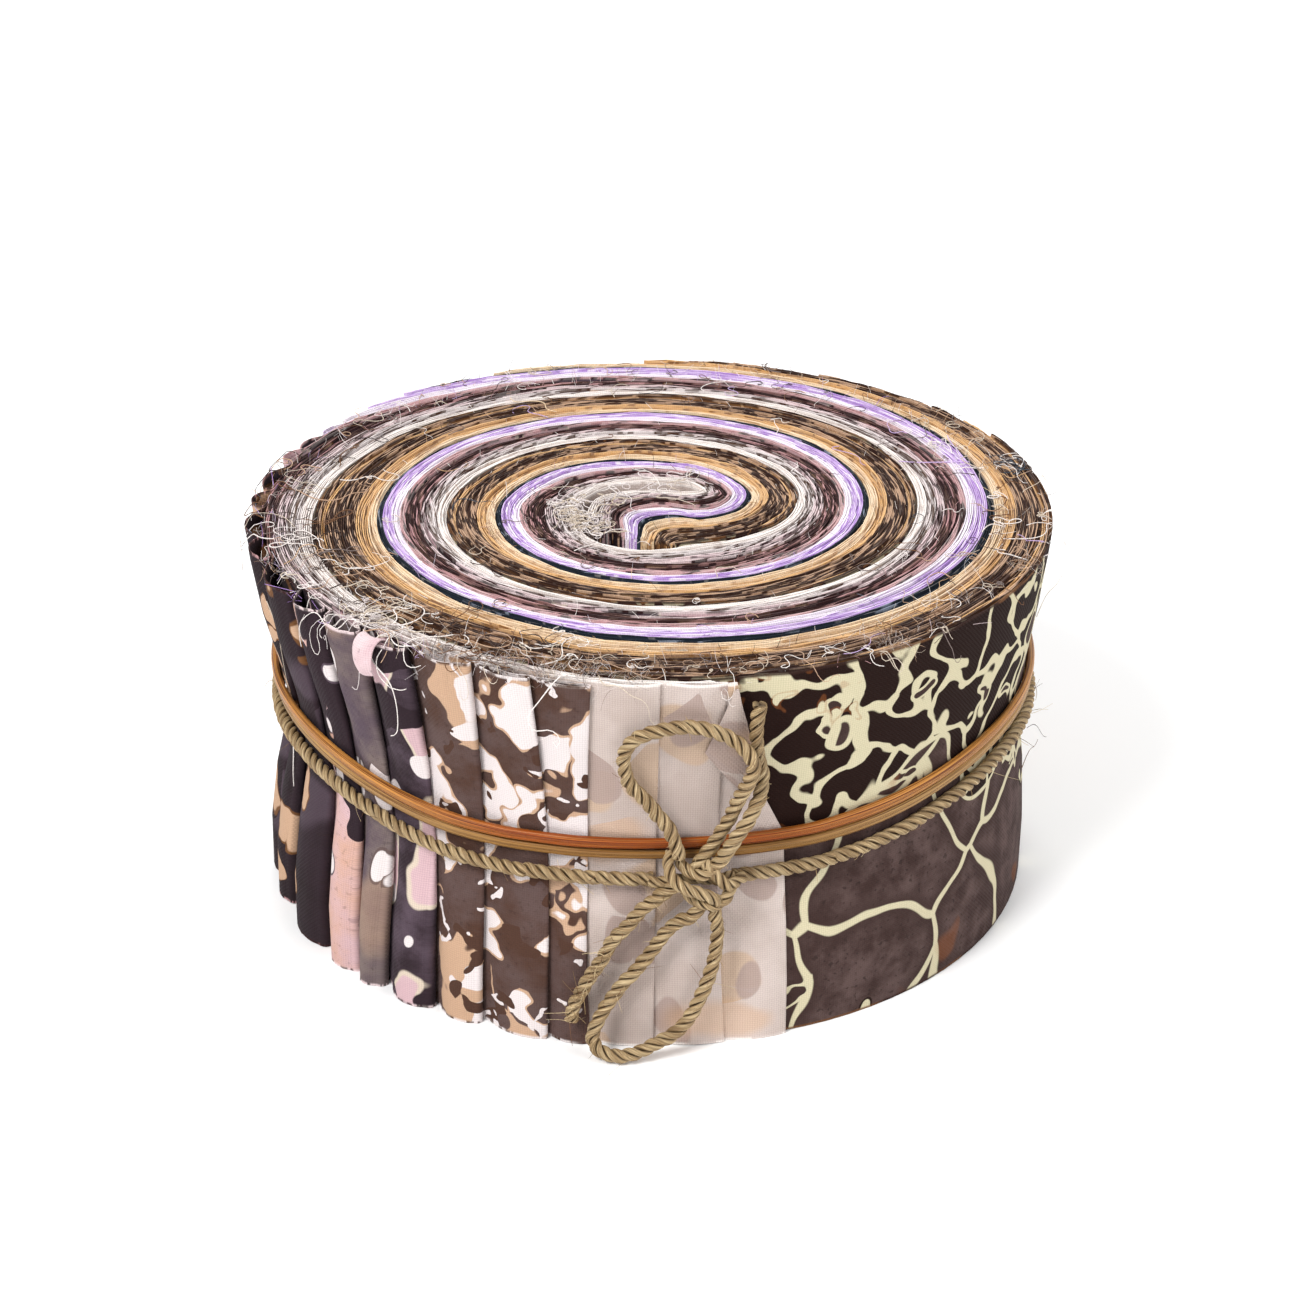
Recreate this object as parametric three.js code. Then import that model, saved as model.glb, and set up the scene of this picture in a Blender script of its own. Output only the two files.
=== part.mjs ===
// A jelly roll: forty strips of printed cotton, each folded in half and all wound into one roll.
// Two strands of split cane and a twisted grass cord, tied in a bow over the last loose end,
// hold it at the waist. Millimetres, +Z up. The origin is the middle of the roll's underside,
// the bow is on the -Y side, and angles run anticlockwise from +X as seen from above.
import * as THREE from 'three';

const DEGREE = Math.PI / 180;
const TURN = 360;

// Driving sizes
const STRIP_WIDTH = 63.5;
const RIM_RADIUS = 65.5;
const GAP = 0.3;
const CORD_DIAMETER = 2.3;
const CORD_LAY = 5.8;
const BOW_ANGLE = 275.5;
const BOW_RADIUS = 64;

// How far the side stands in from the rim at each height, on the roll's left and on its right
const SIDE_INSET = [
  { up: 0, left: 1.3, right: 2.1 },
  { up: 4, left: 1.3, right: 2.0 },
  { up: 12, left: 1.6, right: 2.0 },
  { up: 22, left: 3.3, right: 2.7 },
  { up: 31, left: 5.3, right: 3.9 },
  { up: 40, left: 4.0, right: 3.1 },
  { up: 50, left: 1.9, right: 1.6 },
  { up: 58, left: 0.5, right: 0.5 },
  { up: STRIP_WIDTH, left: 0, right: 0 },
];

// Folded ends of the outer strips: closely stepped ones first, then the loose ones
const TIGHT_ENDS = { first: 12, last: 135, count: 23, puff: 0.5 };
const LOOSE_ENDS = [
  { angle: 144, puff: 0.7 },
  { angle: 153, puff: 0.8 },
  { angle: 162, puff: 0.8 },
  { angle: 171.5, puff: 1.0 },
  { angle: 180.5, puff: 1.2 },
  { angle: 190, puff: 1.4 },
  { angle: 199.5, puff: 1.5 },
  { angle: 212.3, puff: 1.7 },
  { angle: 220.8, puff: 1.6 },
  { angle: 228.3, puff: 1.6 },
  { angle: 236.4, puff: 1.6 },
  { angle: 244.9, puff: 1.5 },
  { angle: 254.8, puff: 1.2 },
  { angle: 260.6, puff: 1.0 },
  { angle: 270.2, puff: 0.6 },
  { angle: 278.8, puff: 0.6 },
];

// A pleat's rise from the strip end before it to its own fold
const LOOSE_PLEAT = [
  { part: 0.03, rise: 0 },
  { part: 0.35, rise: 0.75 },
  { part: 0.75, rise: 1 },
  { part: 0.97, rise: 0.8 },
];
const TIGHT_PLEAT = [
  { part: 0.05, rise: 0 },
  { part: 0.5, rise: 0.8 },
  { part: 0.94, rise: 1 },
];

// The last strip's end: its place, thickness and turned-over corner
const END_SHEET = {
  from: 279.5,
  to: 288.6,
  thickness: 1.1,
  stand: 0.8,
  waistStand: 0.4,
  flapStand: 1.7,
  flapInner: 0.95,
  bottom: 0.3,
};
const END_RECESS = { from: 278.95, to: 289.3 };
const SMOOTH_SIDE = { from: 290, to: TIGHT_ENDS.first + TURN, columns: 12 };

// Rows of the end sheet: free edge and left edge, and whether the corner is turned over there
const END_ROWS = [
  { up: END_SHEET.bottom, left: END_SHEET.from, right: END_SHEET.to, flap: 0 },
  { up: 8, left: END_SHEET.from, right: END_SHEET.to, flap: 0 },
  { up: 16, left: END_SHEET.from, right: END_SHEET.to, flap: 0 },
  { up: 24, left: END_SHEET.from, right: END_SHEET.to, flap: 0 },
  { up: 31, left: END_SHEET.from, right: END_SHEET.to, flap: 0 },
  { up: 34.4, left: END_SHEET.from, right: END_SHEET.to, flap: 0 },
  { up: 38.5, left: END_SHEET.from, right: 286.9, flap: 0 },
  { up: 41.8, left: END_SHEET.from, right: 285.2, flap: 0 },
  { up: 46.5, left: 279.2, right: 283.9, flap: 1 },
  { up: 51.6, left: 276.7, right: 282.9, flap: 1 },
  { up: 56.8, left: 278.4, right: 281.9, flap: 1 },
  { up: 59.5, left: 279.2, right: 281.2, flap: 1 },
  { up: 62.4, left: END_SHEET.from, right: 280.6, flap: 0.3 },
];

// The coil seen on top: the line between one turn and the next, flatter within the calm radius
const COIL = { pitch: 20, start: 23.6, shiftY: -1.2, innermost: 5, calm: 13 };
const COIL_RELIEF = [
  { from: 0, height: -0.9 },
  { from: 1.8, height: 0 },
  { from: 10, height: 0.3 },
  { from: 18.2, height: 0 },
];

// The ties: two cane strands, the cord's belt and the bow, at the roll's waist
const TIE_RISE = { height: 4, from: 22, to: 66 };
const TIE_PRESS = { height: 32.5, reach: 11, share: 0.75 };
const CANE_STEPS = 60;
const CANE_UPPER = { up: 35.1, high: 1.8, deep: 1.3 };
const CANE_LOWER = { up: 33.0, high: 1.6, deep: 1.2 };
const BELT = { up: 29.2, from: 281, to: 630, steps: 72 };
const KNOT = { along: 0.3, up: 29.6, off: 4.6, scale: 1.35, small: 0.8, large: 2, depth: 1.25, cord: 2.1 };
const STEPS_PER_LAY = 8;

// Routes of the bow's cord: along the waist from the bow's angle, up, and off the roll's side
const UPPER_LOOP = [
  [-2.3, 34.4, 4.2], [-3.1, 37.1, 3.8], [-3.9, 39.2, 3.4], [-5.7, 41.8, 3.1], [-7.6, 44.7, 2.9],
  [-9.4, 46.9, 2.8], [-10.2, 49.8, 2.7], [-10.2, 52.7, 2.7], [-9.1, 54.9, 2.7], [-7.1, 56.3, 2.7],
  [-4.3, 57.2, 2.7], [-0.5, 57.4, 2.8], [2.3, 56.7, 3.2], [4.4, 55.6, 3.6], [6.2, 54.1, 4.7],
  [7.3, 52.2, 5.8], [7.2, 49.0, 5.5], [6.3, 45.6, 4.4], [5.5, 42.4, 3.6], [4.7, 39.9, 3.4],
  [3.3, 37.3, 3.5], [1.7, 34.7, 3.7],
];
const UPPER_END = [
  [3.4, 33.9, 5.3], [4.2, 35.8, 5.9], [5.1, 37.9, 6.2], [6.5, 40.3, 6.1], [7.9, 42.8, 5.4],
  [9.1, 45.6, 4.4], [9.3, 48.4, 3.5], [8.8, 50.8, 3.2], [8.4, 53.2, 3.1], [8.2, 55.9, 3.0],
  [8.3, 58.3, 2.9], [8.6, 60.6, 2.9],
];
const LOWER_END = [
  [-4.9, 27.9, 3.9], [-6.2, 26.6, 3.5], [-7.4, 25.5, 3.1], [-9.0, 23.5, 2.8], [-10.6, 21.4, 2.6],
  [-12.2, 19.6, 2.6], [-13.2, 17.5, 2.6], [-14.4, 15.2, 2.6], [-15.8, 12.9, 2.7], [-16.8, 10.7, 2.8],
  [-17.9, 8.1, 2.9], [-18.3, 5.7, 3.0],
];
const LOWER_LOOP = [
  [-0.5, 24.3, 3.9], [-1.9, 23.6, 3.5], [-3.8, 22.0, 3.1], [-5.4, 19.6, 2.8], [-7.2, 17.0, 2.7],
  [-9.0, 14.5, 2.7], [-10.8, 12.4, 2.8], [-12.2, 10.2, 3.0], [-13.5, 7.9, 3.3], [-14.5, 5.5, 3.8],
  [-14.9, 3.7, 4.2], [-14.2, 2.2, 4.8], [-12.5, 1.5, 5.4], [-10.1, 1.5, 5.5], [-8.0, 2.0, 5.0],
  [-5.7, 3.1, 4.4], [-3.2, 4.4, 3.8], [-1.1, 6.4, 3.2], [0.1, 8.7, 3.0], [1.1, 11.0, 2.9],
  [2.1, 13.7, 2.8], [2.8, 16.3, 2.8], [3.2, 19.2, 2.9], [3.3, 21.9, 3.3], [2.9, 24.4, 3.9],
];

const COLOURS = {
  print: { color: 0x4a3632, roughness: 0.9 },
  cream: { color: 0xe2d6cc, roughness: 0.9 },
  caneOrange: { color: 0xb9642a, roughness: 0.4 },
  caneOlive: { color: 0x9a7a45, roughness: 0.45 },
  grass: { color: 0xa68f5f, roughness: 0.8 },
};

// Linear interpolation in a table with rows that have an up column.
function tableAt(rows, up, column) {
  let k = 0;
  while (k < rows.length - 2 && up > rows[k + 1].up) k += 1;
  const part = (up - rows[k].up) / (rows[k + 1].up - rows[k].up);
  return THREE.MathUtils.lerp(rows[k][column], rows[k + 1][column], part);
}

// The side of the roll without its pleats, by angle in degrees and height.
function sideRadius(angle, up) {
  const right = 0.5 + 0.5 * Math.cos(angle * DEGREE);
  const inset = THREE.MathUtils.lerp(
    tableAt(SIDE_INSET, up, 'left'),
    tableAt(SIDE_INSET, up, 'right'),
    right,
  );
  return RIM_RADIUS - inset;
}

// The ties ride up a little from the front to the roll's sides.
function tieHeight(up, angle) {
  const away = Math.abs(((angle - 270 + 540) % TURN) - 180);
  return up + TIE_RISE.height * THREE.MathUtils.smoothstep(away, TIE_RISE.from, TIE_RISE.to);
}

// 1 where the ties press the cloth, falling to 0 above and below them.
function squeeze(angle, up) {
  return Math.exp(-(((up - tieHeight(TIE_PRESS.height, angle)) / TIE_PRESS.reach) ** 2));
}

// The pleats round the roll, each from the strip end before it to its own folded end.
function pleatsOf() {
  const { first, last, count, puff } = TIGHT_ENDS;
  const step = (last - first) / count;
  const tight = Array.from({ length: count }, (_, k) => {
    return { from: first + k * step, to: first + (k + 1) * step, puff, shape: TIGHT_PLEAT };
  });
  const loose = LOOSE_ENDS.map((end, k) => {
    const from = k ? LOOSE_ENDS[k - 1].angle : last;
    return { from, to: end.angle, puff: end.puff, shape: LOOSE_PLEAT };
  });
  return [...tight, ...loose];
}

const PLEATS = pleatsOf();

// How far a pleat of this puff still stands out where the ties press it.
function pressed(puff, angle, up) {
  return puff * (1 - TIE_PRESS.share * squeeze(angle, up));
}

// The furthest that the cloth close to this angle stands off the plain side.
function crest(angle, up) {
  const reach = 7;
  const around = angle % TURN;
  const near = ({ from, to }) => around > from - reach && around < to + reach;
  const cloth = Math.max(0, ...PLEATS.filter(near).map(({ puff }) => pressed(puff, angle, up)));
  return near(END_SHEET) ? Math.max(cloth, endSheetStand(angle, up)) : cloth;
}

function polar(angle, radius, up) {
  return new THREE.Vector3(radius * Math.cos(angle * DEGREE), radius * Math.sin(angle * DEGREE), up);
}

// A point beside the bow: along the waist, up, and off the roll's side.
function besideBow([along, up, off]) {
  const angle = BOW_ANGLE + along / BOW_RADIUS / DEGREE;
  return polar(angle, sideRadius(angle, up) + off, up);
}

function meshOf(name, geometry, finish) {
  const material = new THREE.MeshStandardMaterial({ ...finish, metalness: 0 });
  const mesh = new THREE.Mesh(geometry, material);
  mesh.name = name;
  return mesh;
}

function geometryOf(points, faces) {
  const geometry = new THREE.BufferGeometry();
  const flat = points.flatMap((p) => [p.x, p.y, p.z]);
  geometry.setAttribute('position', new THREE.Float32BufferAttribute(flat, 3));
  geometry.setIndex(faces.flat());
  geometry.computeVertexNormals();
  return geometry;
}

// Joins two neighbouring rows of points, each sorted by key, with triangles between them.
function zip(left, right, faces) {
  let i = 0;
  let j = 0;
  while (i < left.length - 1 || j < right.length - 1) {
    const nextLeft = i < left.length - 1 ? left[i + 1].key : Infinity;
    const nextRight = j < right.length - 1 ? right[j + 1].key : Infinity;
    if (nextLeft <= nextRight) {
      faces.push([left[i].index, left[i + 1].index, right[j].index]);
      i += 1;
    } else {
      faces.push([left[i].index, right[j + 1].index, right[j].index]);
      j += 1;
    }
  }
}

// Columns round the roll: their angle and how far they stand off the plain side at a height.
function rollColumns() {
  const columns = [];
  for (const { from, to, puff, shape } of PLEATS) {
    for (const { part, rise } of shape) {
      const angle = THREE.MathUtils.lerp(from, to, part);
      columns.push({ angle, stand: (up) => rise * pressed(puff, angle, up) });
    }
  }
  const recessColumns = 4;
  for (let k = 0; k < recessColumns; k += 1) {
    const angle = THREE.MathUtils.lerp(END_RECESS.from, END_RECESS.to, k / (recessColumns - 1));
    columns.push({ angle, stand: (up) => endSheetStand(angle, up) - END_SHEET.thickness - GAP });
  }
  for (let k = 0; k < SMOOTH_SIDE.columns; k += 1) {
    const angle = THREE.MathUtils.lerp(SMOOTH_SIDE.from, SMOOTH_SIDE.to, k / SMOOTH_SIDE.columns);
    columns.push({ angle, stand: () => 0 });
  }
  return columns;
}

// How far the end sheet's outer face stands off the plain side, flap apart.
function endSheetStand(angle, up) {
  return THREE.MathUtils.lerp(END_SHEET.stand, END_SHEET.waistStand, squeeze(angle, up));
}

// Slow unevenness of the top face, from the strips' edges not lying quite level.
function topWaver(angle, radius) {
  return 0.2 * Math.sin(3 * angle * DEGREE + radius / 9) + 0.12 * Math.sin(7 * angle * DEGREE - radius / 5);
}

// Places on the top face along one column: the coil's groove and the swell between grooves.
function coilPlaces(angle, outer) {
  const margin = 2.5;
  const turned = COIL.start + (COIL.pitch * (((angle % TURN) + TURN) % TURN)) / TURN;
  const places = [];
  for (let turn = -3; turn < 4; turn += 1) {
    for (const { from, height } of COIL_RELIEF) {
      const radius = turned + COIL.pitch * turn + from;
      if (radius > COIL.innermost && radius < outer - margin) {
        const depth = THREE.MathUtils.smoothstep(radius, COIL.innermost, COIL.calm);
        places.push({ radius, height: depth * (height + topWaver(angle, radius)) });
      }
    }
  }
  return places;
}

function woundStrips() {
  const points = [];
  const faces = [];
  const add = (point) => points.push(point) - 1;
  const heights = SIDE_INSET.map((row) => row.up);
  const columns = rollColumns().map(({ angle, stand }) => {
    const side = heights.map((up) => {
      return { key: up, index: add(polar(angle, sideRadius(angle, up) + stand(up), up)) };
    });
    const outer = RIM_RADIUS + stand(STRIP_WIDTH);
    const top = coilPlaces(angle, outer).map(({ radius, height }) => {
      const point = polar(angle, radius, STRIP_WIDTH + height);
      point.y += COIL.shiftY * (1 - radius / outer);
      return { key: radius, index: add(point) };
    });
    top.push({ key: outer, index: side[side.length - 1].index });
    return { angle, side, top };
  });
  const hub = add(new THREE.Vector3(0, COIL.shiftY, STRIP_WIDTH));
  columns.forEach((column, k) => {
    const next = columns[(k + 1) % columns.length];
    zip(next.side, column.side, faces);
    zip(column.top, next.top, faces);
    faces.push([hub, column.top[0].index, next.top[0].index]);
  });
  underside(columns, points, faces);
  return geometryOf(points, faces);
}

// The flat underside: one large triangle in the middle and a fringe of triangles round it.
function underside(columns, points, faces) {
  const middleRadius = 30;
  const corners = [30, 150, 270].map((angle) => {
    return { key: angle, index: points.push(polar(angle, middleRadius, 0)) - 1 };
  });
  faces.push([corners[0].index, corners[2].index, corners[1].index]);
  const rim = columns.map(({ angle, side }) => ({ key: angle, index: side[0].index }));
  rim.push({ key: rim[0].key + TURN, index: rim[0].index });
  corners.push({ key: corners[0].key + TURN, index: corners[0].index });
  zip(corners, rim, faces);
}

// The last strip's end, a slab on the roll's side with its upper corner turned over.
function endSheet() {
  const points = [];
  const faces = [];
  const parts = [0.34, 0.67, 1];
  const seat = 0.15;
  const rows = END_ROWS.map(({ up, left, right, flap }) => {
    const flat = endSheetStand(left, up);
    const stand = THREE.MathUtils.lerp(flat, END_SHEET.flapStand, flap);
    const inner = flat - END_SHEET.thickness;
    const inside = Math.max(left + seat, END_SHEET.from);
    const angles = [left, Math.max(left + seat / 2, END_SHEET.from - seat), inside];
    angles.push(...parts.map((part) => THREE.MathUtils.lerp(inside, right, part)));
    return angles.map((angle, k) => {
      const back = k < 2 && left < END_SHEET.from - seat ? END_SHEET.flapInner : inner;
      const outerPoint = polar(angle, sideRadius(angle, up) + stand, up);
      const innerPoint = polar(angle, sideRadius(angle, up) + back, up);
      return { outer: points.push(outerPoint) - 1, inner: points.push(innerPoint) - 1 };
    });
  });
  const quad = (a, b, c, d) => faces.push([a, b, c], [a, c, d]);
  const last = rows[0].length - 1;
  for (let r = 0; r < rows.length - 1; r += 1) {
    const [low, high] = [rows[r], rows[r + 1]];
    for (let k = 0; k < last; k += 1) {
      quad(low[k].outer, low[k + 1].outer, high[k + 1].outer, high[k].outer);
      quad(low[k].inner, high[k].inner, high[k + 1].inner, low[k + 1].inner);
    }
    quad(low[0].inner, low[0].outer, high[0].outer, high[0].inner);
    quad(low[last].outer, low[last].inner, high[last].inner, high[last].outer);
  }
  for (let k = 0; k < last; k += 1) {
    const [bottom, top] = [rows[0], rows[rows.length - 1]];
    quad(bottom[k].inner, bottom[k + 1].inner, bottom[k + 1].outer, bottom[k].outer);
    quad(top[k].outer, top[k + 1].outer, top[k + 1].inner, top[k].inner);
  }
  return geometryOf(points, faces);
}

// Sweeps a ring of section points along stations, closed round on itself or capped at its ends.
function sweep(stations, sides, closed, sectionPoint) {
  const points = [];
  const faces = [];
  stations.forEach((station) => {
    for (let k = 0; k < sides; k += 1) points.push(sectionPoint(station, k));
  });
  const count = stations.length;
  const links = closed ? count : count - 1;
  for (let s = 0; s < links; s += 1) {
    const near = s * sides;
    const far = ((s + 1) % count) * sides;
    for (let k = 0; k < sides; k += 1) {
      const next = (k + 1) % sides;
      faces.push([near + k, near + next, far + next], [near + k, far + next, far + k]);
    }
  }
  if (!closed) {
    const tail = (count - 1) * sides;
    const startHub = points.push(stations[0].point.clone()) - 1;
    const endHub = points.push(stations[count - 1].point.clone()) - 1;
    for (let k = 0; k < sides; k += 1) {
      const next = (k + 1) % sides;
      faces.push([startHub, next, k], [endHub, tail + k, tail + next]);
    }
  }
  return geometryOf(points, faces);
}

function stationsOf(curve, steps, closed) {
  curve.arcLengthDivisions = steps * 8;
  const frames = curve.computeFrenetFrames(steps, closed);
  const count = closed ? steps : steps + 1;
  return Array.from({ length: count }, (_, s) => ({
    part: s / steps,
    point: curve.getPointAt(s / steps),
    normal: frames.normals[s],
    binormal: frames.binormals[s],
  }));
}

// A laid rope of three strands: the section has a crest and a groove for each strand and turns.
function ropeGeometry(curve, diameter, closed) {
  const strands = 3;
  const grooveDepth = 0.26;
  const length = curve.getLength();
  const steps = Math.round((length / CORD_LAY) * STEPS_PER_LAY);
  const turns = closed ? Math.round((length / CORD_LAY) * strands) / strands : length / CORD_LAY;
  const sides = strands * 2;
  return sweep(stationsOf(curve, steps, closed), sides, closed, ({ part, point, normal, binormal }, k) => {
    const radius = (diameter / 2) * (k % 2 ? 1 - grooveDepth : 1);
    const angle = 2 * Math.PI * (k / sides + turns * part);
    return point
      .clone()
      .addScaledVector(normal, radius * Math.cos(angle))
      .addScaledVector(binormal, radius * Math.sin(angle));
  });
}

function bowCord(name, route) {
  const curve = new THREE.CatmullRomCurve3(route.map(besideBow), false, 'centripetal');
  return meshOf(name, ropeGeometry(curve, CORD_DIAMETER, false), COLOURS.grass);
}

// The bow's knot: one turn of the cord over and under itself three times, as in a trefoil.
function knot() {
  const bends = 24;
  const { along, up, off, scale, small, large, depth, cord } = KNOT;
  const route = Array.from({ length: bends }, (_, k) => {
    const t = (2 * Math.PI * k) / bends;
    return besideBow([
      along + scale * (small * Math.sin(t) + large * Math.sin(2 * t)),
      up + scale * (small * Math.cos(t) - large * Math.cos(2 * t)),
      off - depth * Math.sin(3 * t),
    ]);
  });
  const curve = new THREE.CatmullRomCurve3(route, true, 'centripetal');
  return meshOf('bow_knot', ropeGeometry(curve, cord, true), COLOURS.grass);
}

// The middle of a tie, half its depth and a gap off the cloth that it presses.
function tiePoint(angle, up, high, deep) {
  const height = tieHeight(up, angle);
  const cloth = Math.max(crest(angle, height - high / 2), crest(angle, height + high / 2));
  return polar(angle, sideRadius(angle, height) + cloth + GAP + deep / 2, height);
}

function caneStrand(name, { up, high, deep }, finish) {
  const sides = 8;
  const stations = Array.from({ length: CANE_STEPS }, (_, s) => {
    const angle = (TURN * s) / CANE_STEPS;
    return { point: tiePoint(angle, up, high, deep), outward: polar(angle, 1, 0) };
  });
  const geometry = sweep(stations, sides, true, ({ point, outward }, k) => {
    const around = (2 * Math.PI * (k + 0.5)) / sides;
    const place = point.clone().addScaledVector(outward, (deep / 2) * Math.cos(around));
    place.z -= (high / 2) * Math.sin(around);
    return place;
  });
  return meshOf(name, geometry, finish);
}

function cordBelt() {
  const sides = 8;
  const { up, from, to, steps } = BELT;
  const stations = Array.from({ length: steps + 1 }, (_, s) => {
    const angle = THREE.MathUtils.lerp(from, to, s / steps);
    const point = tiePoint(angle, up, CORD_DIAMETER, CORD_DIAMETER);
    return { point, outward: polar(angle, 1, 0) };
  });
  const geometry = sweep(stations, sides, false, ({ point, outward }, k) => {
    const around = (2 * Math.PI * k) / sides;
    const place = point.clone().addScaledVector(outward, (CORD_DIAMETER / 2) * Math.cos(around));
    place.z -= (CORD_DIAMETER / 2) * Math.sin(around);
    return place;
  });
  return meshOf('cord_belt', geometry, COLOURS.grass);
}

const jellyRoll = new THREE.Group();
jellyRoll.add(
  meshOf('wound_strips', woundStrips(), COLOURS.print),
  meshOf('cream_end', endSheet(), COLOURS.cream),
  caneStrand('cane_upper', CANE_UPPER, COLOURS.caneOrange),
  caneStrand('cane_lower', CANE_LOWER, COLOURS.caneOlive),
  cordBelt(),
  knot(),
  bowCord('bow_upper_loop', UPPER_LOOP),
  bowCord('bow_lower_loop', LOWER_LOOP),
  bowCord('bow_upper_end', UPPER_END),
  bowCord('bow_lower_end', LOWER_END),
);

export default jellyRoll;
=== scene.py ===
"""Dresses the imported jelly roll: forty folded strips of printed cotton wound into one roll, with
loose threads along their cut edges, two strands of split cane and a twisted grass cord tied in a bow.
Shapes are worked out in millimetres and become metres as each mesh is written."""

import math

import bpy
import numpy as np
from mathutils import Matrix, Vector


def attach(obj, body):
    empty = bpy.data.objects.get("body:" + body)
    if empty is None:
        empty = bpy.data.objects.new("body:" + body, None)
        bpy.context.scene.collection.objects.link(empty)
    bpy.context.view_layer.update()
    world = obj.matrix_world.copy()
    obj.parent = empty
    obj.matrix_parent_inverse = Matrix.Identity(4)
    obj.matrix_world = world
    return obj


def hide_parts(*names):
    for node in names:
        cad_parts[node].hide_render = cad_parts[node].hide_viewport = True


bl_info = {
    "name": "Jelly roll of fabric strips",
    "version": (1, 0, 0),
    "blender": (4, 5, 0),
    "location": "View3D > Sidebar > Jelly roll",
    "description": "Makes a wound roll of folded cotton strips with cane and cord ties",
    "category": "Add Mesh",
}

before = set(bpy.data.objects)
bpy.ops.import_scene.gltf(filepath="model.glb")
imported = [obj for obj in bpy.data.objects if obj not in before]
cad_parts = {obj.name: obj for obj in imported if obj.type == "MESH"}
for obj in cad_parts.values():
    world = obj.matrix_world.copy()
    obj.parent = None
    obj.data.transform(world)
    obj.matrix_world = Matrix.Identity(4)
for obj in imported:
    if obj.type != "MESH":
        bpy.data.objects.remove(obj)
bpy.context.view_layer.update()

MM = 0.001
TURN = 360.0
FRONT = 270.0
STRIP_WIDTH = 63.5
RIM_RADIUS = 65.5
COIL_PITCH = 20.0
CORD_DIAMETER = 2.3
CORD_LAY = 5.8
CLOTH = 0.2
THREAD_PITCH = 0.36
EDGE_WANDER = 0.4
PRINT_SHIFT = 137.0
SHARP_ANGLE = 80
CLOTH_SHARP_ANGLE = 45
BODY = "root"

# The photograph's camera, in millimetres and degrees, and its focal length in the photograph's pixels
CAMERA = {"elevation": 26.38, "distance": 500.0, "target": (-0.48, 0.0, 36.54), "focal": 2961.0}
PHOTO_SIDE = 1300.0
SENSOR = 36.0
NEAR_CLIP = 10.0

# The studio: each lamp's name, place and width in metres and power in watts, and where they point
LAMPS = (
    ("key", (-0.6, -0.7, 0.95), 0.5, 15.5),
    ("fill", (0.85, -0.6, 0.6), 0.8, 6.5),
    ("back", (0.1, 0.9, 0.9), 0.9, 9.0),
)
LAMPS_AIM = (0, 0, 0.03)
ROOM_LIGHT = 0.45
FLOOR_REACH = 6.0
FLOOR_SHADES = ((0.94, 0.94, 0.94, 1), (0.96, 0.96, 0.96, 1))

# Smooth noise: how many random values it has, and which of them stands at place 0
NOISE_VALUES = 4096
NOISE_START = 1024

# How many places a curve is worked out at for each of its points, before it is cut into even steps
SPLINE_SAMPLES = 60

# A strip's points: the heights of its rows, its step through the core, its steps round the coil,
# each from an angle on and as a length at a radius, and how many points lead to its pleat, cross
# the pleat and go round its fold
STRIP_ROWS = np.array([0, 9.5, 19.5, 28, 35, 42.5, 52, 61.5, 63.5])
CORE_STEP = 1.4
CORE_ENDS_AT = 180.0
CORE_LEAD = 30.0
COIL_STEPS = ((CORE_ENDS_AT, 2.5, 24.0), (360.0, 3.3, 36.0), (540.0, 3.9, 60.0))
PLEAT_LEAD = 3
PLEAT_STEPS = 16
FOLD_STEPS = 7

# Where the two halves of a folded strip lie in its share of the stack
OUTER_HALF = 0.25
INNER_HALF = 0.75

# How far the side stands in from the rim: height, on the roll's left, on its right
SIDE_INSET = np.array([
    (0, 1.3, 2.1), (4, 1.3, 2.0), (12, 1.6, 2.0), (22, 3.3, 2.7), (31, 5.3, 3.9),
    (40, 4.0, 3.1), (50, 1.9, 1.6), (58, 0.5, 0.5), (63.5, 0, 0),
])

# Where each strip's folded end lies on the side, as angles: closely stepped ones, then the loose ones
# with how far each puffs out
PLEATS_START = 12.0
TIGHT_ENDS = np.concatenate([
    PLEATS_START + 7.2 * np.arange(1, 13), [101, 104, 110, 116, 122, 128, 132.5, 136.5, 140, 143, 146]])
TIGHT_COUNT = len(TIGHT_ENDS)
TIGHT_PUFF = 0.5
LOOSE_ENDS = np.array([
    (151, 1.4), (158, 1.8), (165, 2.1), (172.5, 2.5), (180.5, 2.8), (190, 3.1), (199.5, 3.2),
    (212.3, 3.5), (220.8, 3.3), (228.3, 3.4), (236.4, 3.3), (244.9, 2.7), (254.8, 1.9),
    (260.6, 1.2), (270.2, 0.8), (278.8, 0.8),
])
GROOVE = {"depth": 1.7, "in": (138.0, 160.0), "out": (238.0, 262.0)}
PLEAT_LEAN = {"at": 218.0, "over": 24.0, "far": -2.6, "each": (-0.8, 0.8), "reach": 31}
LAST_END = 288.6
LAST_PUFF = 0.8
ENDS = np.concatenate([TIGHT_ENDS, LOOSE_ENDS[:, 0], [LAST_END]])
PUFFS = np.concatenate([np.full(TIGHT_COUNT, TIGHT_PUFF), LOOSE_ENDS[:, 1], [LAST_PUFF]])
STARTS = np.concatenate([[PLEATS_START], ENDS[:-1]])
STRIPS = len(ENDS)

# The lip of one pleat, rolled over at the top: off the rim and up, along its profile
ROLLED_LIP = {
    "strip": 33, "angle": 231.0, "half": 1.8, "taper": 0.3, "bow": 0.6, "cloth": (12.0, 30.0),
    "step": 0.35, "columns": 9,
    "profile": np.array([
        (-0.4, 63.4), (0.6, 64.4), (1.9, 64.5), (2.9, 63.8), (3.4, 62.2), (3.3, 60.4), (2.7, 59.0),
    ]),
}

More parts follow.
